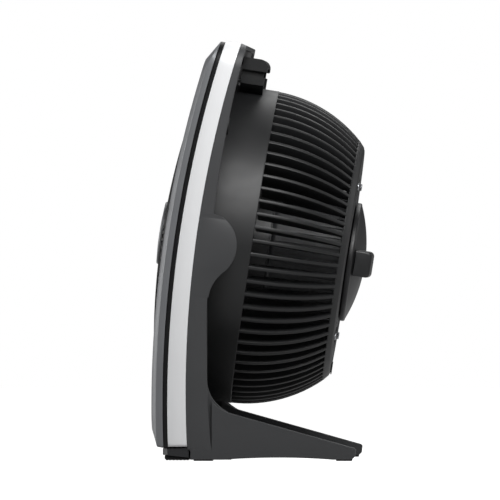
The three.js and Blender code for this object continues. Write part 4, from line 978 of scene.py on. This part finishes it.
def legOutline():
    s = legs
    slope = math.radians(s["slope"])
    straight = s["tipTop"] + (s["tipY"] - s["curveEnd"]) * math.tan(slope)
    cy = s["curveEnd"] + s["curve"] * math.sin(slope)
    cz = straight + s["curve"] * math.cos(slope)
    start = 180 + math.degrees(math.acos((cy - s["seam"]) / s["curve"]))
    return np.vstack([
        [(s["front"], s["sole"]), (s["front"], s["toeTop"]), (s["seam"], s["toeTop"])],
        arcOf(cy, cz, s["curve"], start, 270 - s["slope"]),
        [(s["tipY"] - 1.5, s["tipTop"] + 0.42), (s["tipY"], s["tipTop"] - 1.2),
         (s["tipY"] - 0.8, s["sole"] + 3), (s["tipY"] - 4, s["sole"]),
         (s["archRear"], s["sole"])],
        curveTo((s["archRear"], s["sole"]), (s["archMiddle"], s["archLift"]),
                (s["archFront"], s["sole"]), 16)])


def armOutline():
    s = arms
    blendY, blendZ = hollowCentre()
    dy, dz = blendY - head["pivotY"], blendZ - head["pivotZ"]
    cy = dy * tiltCos + dz * tiltSin
    cz = pivot[2] - dy * tiltSin + dz * tiltCos
    round = rearFrame["blend"] + s["shy"]
    rear = cy - round
    front = rear - s["wide"]
    low = legs["sole"]
    flare = (rear, s["flareTop"])
    return np.vstack([[(front, low), (front, cz - 5)],
                      arcOf(0, pivot[2], s["hub"], *s["hubArc"]),
                      arcOf(cy, cz, round, *s["hollowArc"]), [flare],
                      curveTo(flare, (rear, s["flareBend"]), (legs["curveEnd"], s["flareFoot"])),
                      [(legs["curveEnd"], low)]])


def makeLegs():
    s = legs
    inner = s["outer"] - s["wide"]
    for side, word in ((1, "right"), (-1, "left")):
        leg = sidePrism(legOutline(), side * inner, side * s["outer"])
        arm = sidePrism(armOutline(), side * arms["inner"], side * arms["outer"])
        prismPiece("leg" + word.capitalize(), [leg, arm], "charcoal", "leg_" + word, 1.0,
                   segments=4)


makeLegs()

crossbar = {"front": -31.2, "top": 18.0, "back": 8.0, "toe": 10.4, "reach": 167.7,
            "tongue": ((-8, 6), (2, 6), (2, 15), (-8, 15)), "tongueReach": 176.5}


def makeCrossbar():
    s = crossbar
    low = legs["sole"] + 0.3
    outline = np.vstack([[(s["front"], low), (s["front"], s["toe"])],
                         curveTo((s["front"], s["toe"]), (s["front"] + 14, s["top"]),
                                 (s["front"] + 22, s["top"])),
                         [(s["back"] - 6, s["top"])],
                         curveTo((s["back"] - 6, s["top"]), (s["back"], s["top"]),
                                 (s["back"], s["top"] - 7)), [(s["back"], low)]])
    prisms = [sidePrism(outline, -s["reach"], s["reach"])]
    for side in (-1, 1):
        prisms.append(sidePrism(s["tongue"], side * (s["reach"] - 2), side * s["tongueReach"]))
    prismPiece("crossbarBody", prisms, "charcoal", "crossbar", 0.7)


makeCrossbar()

chin = {"half": 190.5, "facet": 5.0, "front": -58.4, "rear": -32.6, "lowFront": 6.0,
        "lowRear": 3.2, "inset": 2.0, "lift": 0.5, "ribs": 6, "ribDepth": 0.5}


def makeChin():
    s = chin
    half, front, rear, facet = s["half"], s["front"], s["rear"], s["facet"]

    def low(y):
        return np.interp(y, (front, rear), (s["lowFront"], s["lowRear"]))

    plan = np.array([(-half, rear), (-half, front + facet), (-half + facet, front),
                     (half - facet, front), (half, front + facet), (half, rear)])
    top = np.full(len(plan), head["frameLift"] - gap)
    body = prism(np.column_stack([plan, low(plan[:, 1])]), np.column_stack([plan, top]))
    prismPiece("chinBody", [body], "chin", "chin", 0.5, "head")
    y0, y1 = front + s["inset"], rear - 0.4
    ribY = np.linspace(y0 + 2, y1 - 0.6, 2 * s["ribs"] + 1)  # the sole is ribbed lengthwise
    ribZ = s["lift"] + s["ribDepth"] * (np.arange(len(ribY)) % 2)
    foot = np.vstack([[(y0, low(y0) - gap), (y0, s["lift"] + 2)], np.column_stack([ribY, ribZ]),
                      [(y1, low(y1) - gap)]])
    prismPiece("chinRubber", [sidePrism(foot, s["inset"] - half, half - s["inset"])], "rubber",
               "chin_bumper", 0.3, "head")


makeChin()

pads = {"wide": 20.0, "thick": 3.6, "front": (-28.0, 19.0), "rear": (111.7, 15.7)}


def makePads():
    s = pads
    middle = legs["outer"] - legs["wide"] / 2
    for side, word in ((1, "right"), (-1, "left")):
        for end in ("front", "rear"):
            y, long = s[end]
            outline = [(y, 0), (y + long, 0), (y + long, s["thick"]), (y, s["thick"])]
            x0, x1 = side * (middle - s["wide"] / 2), side * (middle + s["wide"] / 2)
            prismPiece(end + "Pad" + word.capitalize(), [sidePrism(outline, x0, x1)], "rubber",
                       end + "_pad_" + word, 0.7)


makePads()
print("handle and base made")

# ---- screws: pan heads with a cross recess ----

screwHead = {"radius": 3.6, "depth": 1.7, "shank": 1.8, "arm": 2.0, "slot": 0.5, "sink": 1.1,
             "loop": 48, "sharp": 25, "grilleSeat": 2.6, "grilleTip": 6.0, "bucketTip": 5.0,
             "housingSink": 2.3, "housingTip": 5.2}


def screwParts(x, z, seat, tip):
    # loops round the screw's own axis; the recess is a plus drawn in polar form
    s = screwHead
    out = 1.0 if seat > tip else -1.0
    a = np.linspace(0, 2 * np.pi, s["loop"], endpoint=False)
    fold = np.abs((a + np.pi / 4) % (np.pi / 2) - np.pi / 4)
    plus = np.minimum(s["arm"] / np.cos(fold), s["slot"] / np.maximum(np.sin(fold), 1e-3))
    r, d, shank = s["radius"], s["depth"], s["shank"]
    floor = seat + out * (d - s["sink"])
    loops = [(0.05, tip), (shank, tip + out * 1.2), (shank, seat + out * 0.15),
             (r - 0.2, seat + out * 0.15), (r, seat + out * 0.4), (r, seat + out * (d - 0.7)),
             (r - 0.3, seat + out * (d - 0.25)), (r - 0.9, seat + out * d),
             (plus, seat + out * d), (plus * 0.8, floor), (0.05, floor - out * 0.2)]
    rows = [np.stack([x + radius * np.cos(a), np.full(len(a), y), z + radius * np.sin(a)], -1)
            for radius, y in loops]
    return surface(rows, caps=True)


def makeScrews():
    grilleReach = grilleOuter - frontGrille["rim"] / 2
    for i, (c, n) in enumerate(fixings):
        lugRear = lugFace(rearGrille["lugOut"] * n) + rearGrille["lugThick"]
        lugSeat = lugRear - screwHead["housingSink"]
        sets = [("grille", grilleReach, frontGrille["front"] + screwHead["grilleSeat"],
                 frontFrame["lipFront"] + screwHead["grilleTip"]),
                ("bucket", ringMiddle(), 0.0, -rearGrille["ringDepth"] - screwHead["bucketTip"]),
                ("housing", rearGrille["lugOut"], lugSeat, lugSeat - screwHead["housingTip"])]
        for word, reach, y, tip in sets:
            finish = "darkSteel" if word == "housing" else "steel"
            makePiece(f"{word}Screw{i + 1}", [screwParts(reach * c, reach * n, y, tip)], finish,
                      f"{word}_screw_{i + 1}", screwHead["sharp"])
    x, z, seat, tip = carryHandle["screw"]
    for side, word in ((1, "right"), (-1, "left")):
        makePiece("handleScrew" + word.capitalize(), [screwParts(side * x, z, seat, tip)],
                  "darkSteel", "handle_screw_" + word, screwHead["sharp"])


makeScrews()

# ---- CAD nodes that keep their shape get their finish ----

keptNodes = {"steel": ["base_screw_right", "base_screw_left", "pivot_pin_right", "pivot_pin_left",
                       "bearing_front", "bearing_rear", "motor_bolt_1", "motor_bolt_2", "shaft",
                       "impeller_nut", "switch_stem"],
             "rubber": ["pivot_washer_right", "pivot_washer_left", "cord_gland"],
             "control": ["speed_switch"],
             "winding": ["motor_coil_front", "motor_coil_rear"],
             "cast": ["motor_bracket_front", "motor_bracket_rear", "motor_rotor"],
             "sheets": ["motor_stator"]}


def dressKeptNodes():
    for finish, names in keptNodes.items():
        for name in names:
            nodes[name].data.materials.clear()
            nodes[name].data.materials.append(finishes[finish])


dressKeptNodes()
print("screws made and kept nodes dressed")

# ---- studio: pale floor, white surroundings, soft boxes ----

studio = {"floor": 9.0, "floorZ": -0.0002, "floorTone": 0.4, "floorRoughness": 0.7,
          "floorSpecular": 0.2, "floorGlow": 1.0, "floorShine": 0.24, "surround": 0.07,
          "backdrop": 1.0}
lamps = [
    {"name": "keyBox", "at": (0.87, 0.2, 0.92), "to": (0.15, -0.02, 0.34), "size": (0.5, 0.55),
     "watts": 11.4},
    {"name": "topBox", "at": (-1.2, 0.15, 1.5), "to": (0.0, 0.0, 0.3), "size": (1.6, 1.2),
     "watts": 14.0},
    {"name": "frontBox", "at": (-0.35, -1.5, 0.4), "to": (0.0, 0.0, 0.2), "size": (0.9, 0.7),
     "watts": 15.0},
    {"name": "backBox", "at": (-0.5, 1.9, 0.75), "to": (0.0, 0.0, 0.2), "size": (1.4, 1.0),
     "watts": 7.0},
]


def makeStudio():
    half, tone = studio["floor"], studio["floorTone"]
    corners = ((-half, -half), (half, -half), (half, half), (-half, half))
    mesh = bpy.data.meshes.new("studioFloor")
    mesh.from_pydata([(*corner, studio["floorZ"]) for corner in corners], [], [(0, 1, 2, 3)])
    material, tree, shader, _ = nodeTools("floorPaper")
    for key, value in {"Base Color": (tone, tone, tone, 1), "Emission Color": (1, 1, 1, 1),
                       "Roughness": studio["floorRoughness"],
                       "Specular IOR Level": studio["floorSpecular"]}.items():
        shader.inputs[key].default_value = value
    # the paper glows for the camera, and less for what reflects it
    seen = tree.nodes.new("ShaderNodeLightPath")
    shine = addNode(tree, "Math", {1: studio["floorShine"], 2: 0.0},
                    {0: seen.outputs["Is Glossy Ray"]})
    glow = addNode(tree, "Math", {1: studio["floorGlow"]},
                   {0: seen.outputs["Is Camera Ray"], 2: shine.outputs[0]})
    shine.operation = glow.operation = "MULTIPLY_ADD"
    tree.links.new(glow.outputs[0], shader.inputs["Emission Strength"])
    mesh.materials.append(material)
    addObject("studioFloor", mesh)
    for lamp in lamps:
        data = bpy.data.lights.new(lamp["name"], "AREA")
        data.shape = "RECTANGLE"
        data.size, data.size_y = lamp["size"]
        data.energy = lamp["watts"]
        light = addObject(lamp["name"], data)
        light.location = lamp["at"]
        aim = Vector(lamp["to"]) - Vector(lamp["at"])
        light.rotation_euler = aim.to_track_quat("-Z", "Y").to_euler()
    world = bpy.data.worlds.new("studioWorld")
    bpy.context.scene.world = world
    world.use_nodes = True
    tree = world.node_tree
    tree.nodes.clear()
    output = tree.nodes.new("ShaderNodeOutputWorld")
    mix = tree.nodes.new("ShaderNodeMixShader")
    path = tree.nodes.new("ShaderNodeLightPath")
    tree.links.new(path.outputs["Is Camera Ray"], mix.inputs[0])
    for i, strength in enumerate(("surround", "backdrop")):  # what lights the fan, what shows
        values = {"Strength": studio[strength], "Color": (1, 1, 1, 1)}
        tree.links.new(addNode(tree, "Background", values, {}).outputs[0], mix.inputs[1 + i])
    tree.links.new(mix.outputs[0], output.inputs["Surface"])
    bpy.context.scene.view_settings.view_transform = "Standard"


makeStudio()
print("studio made")
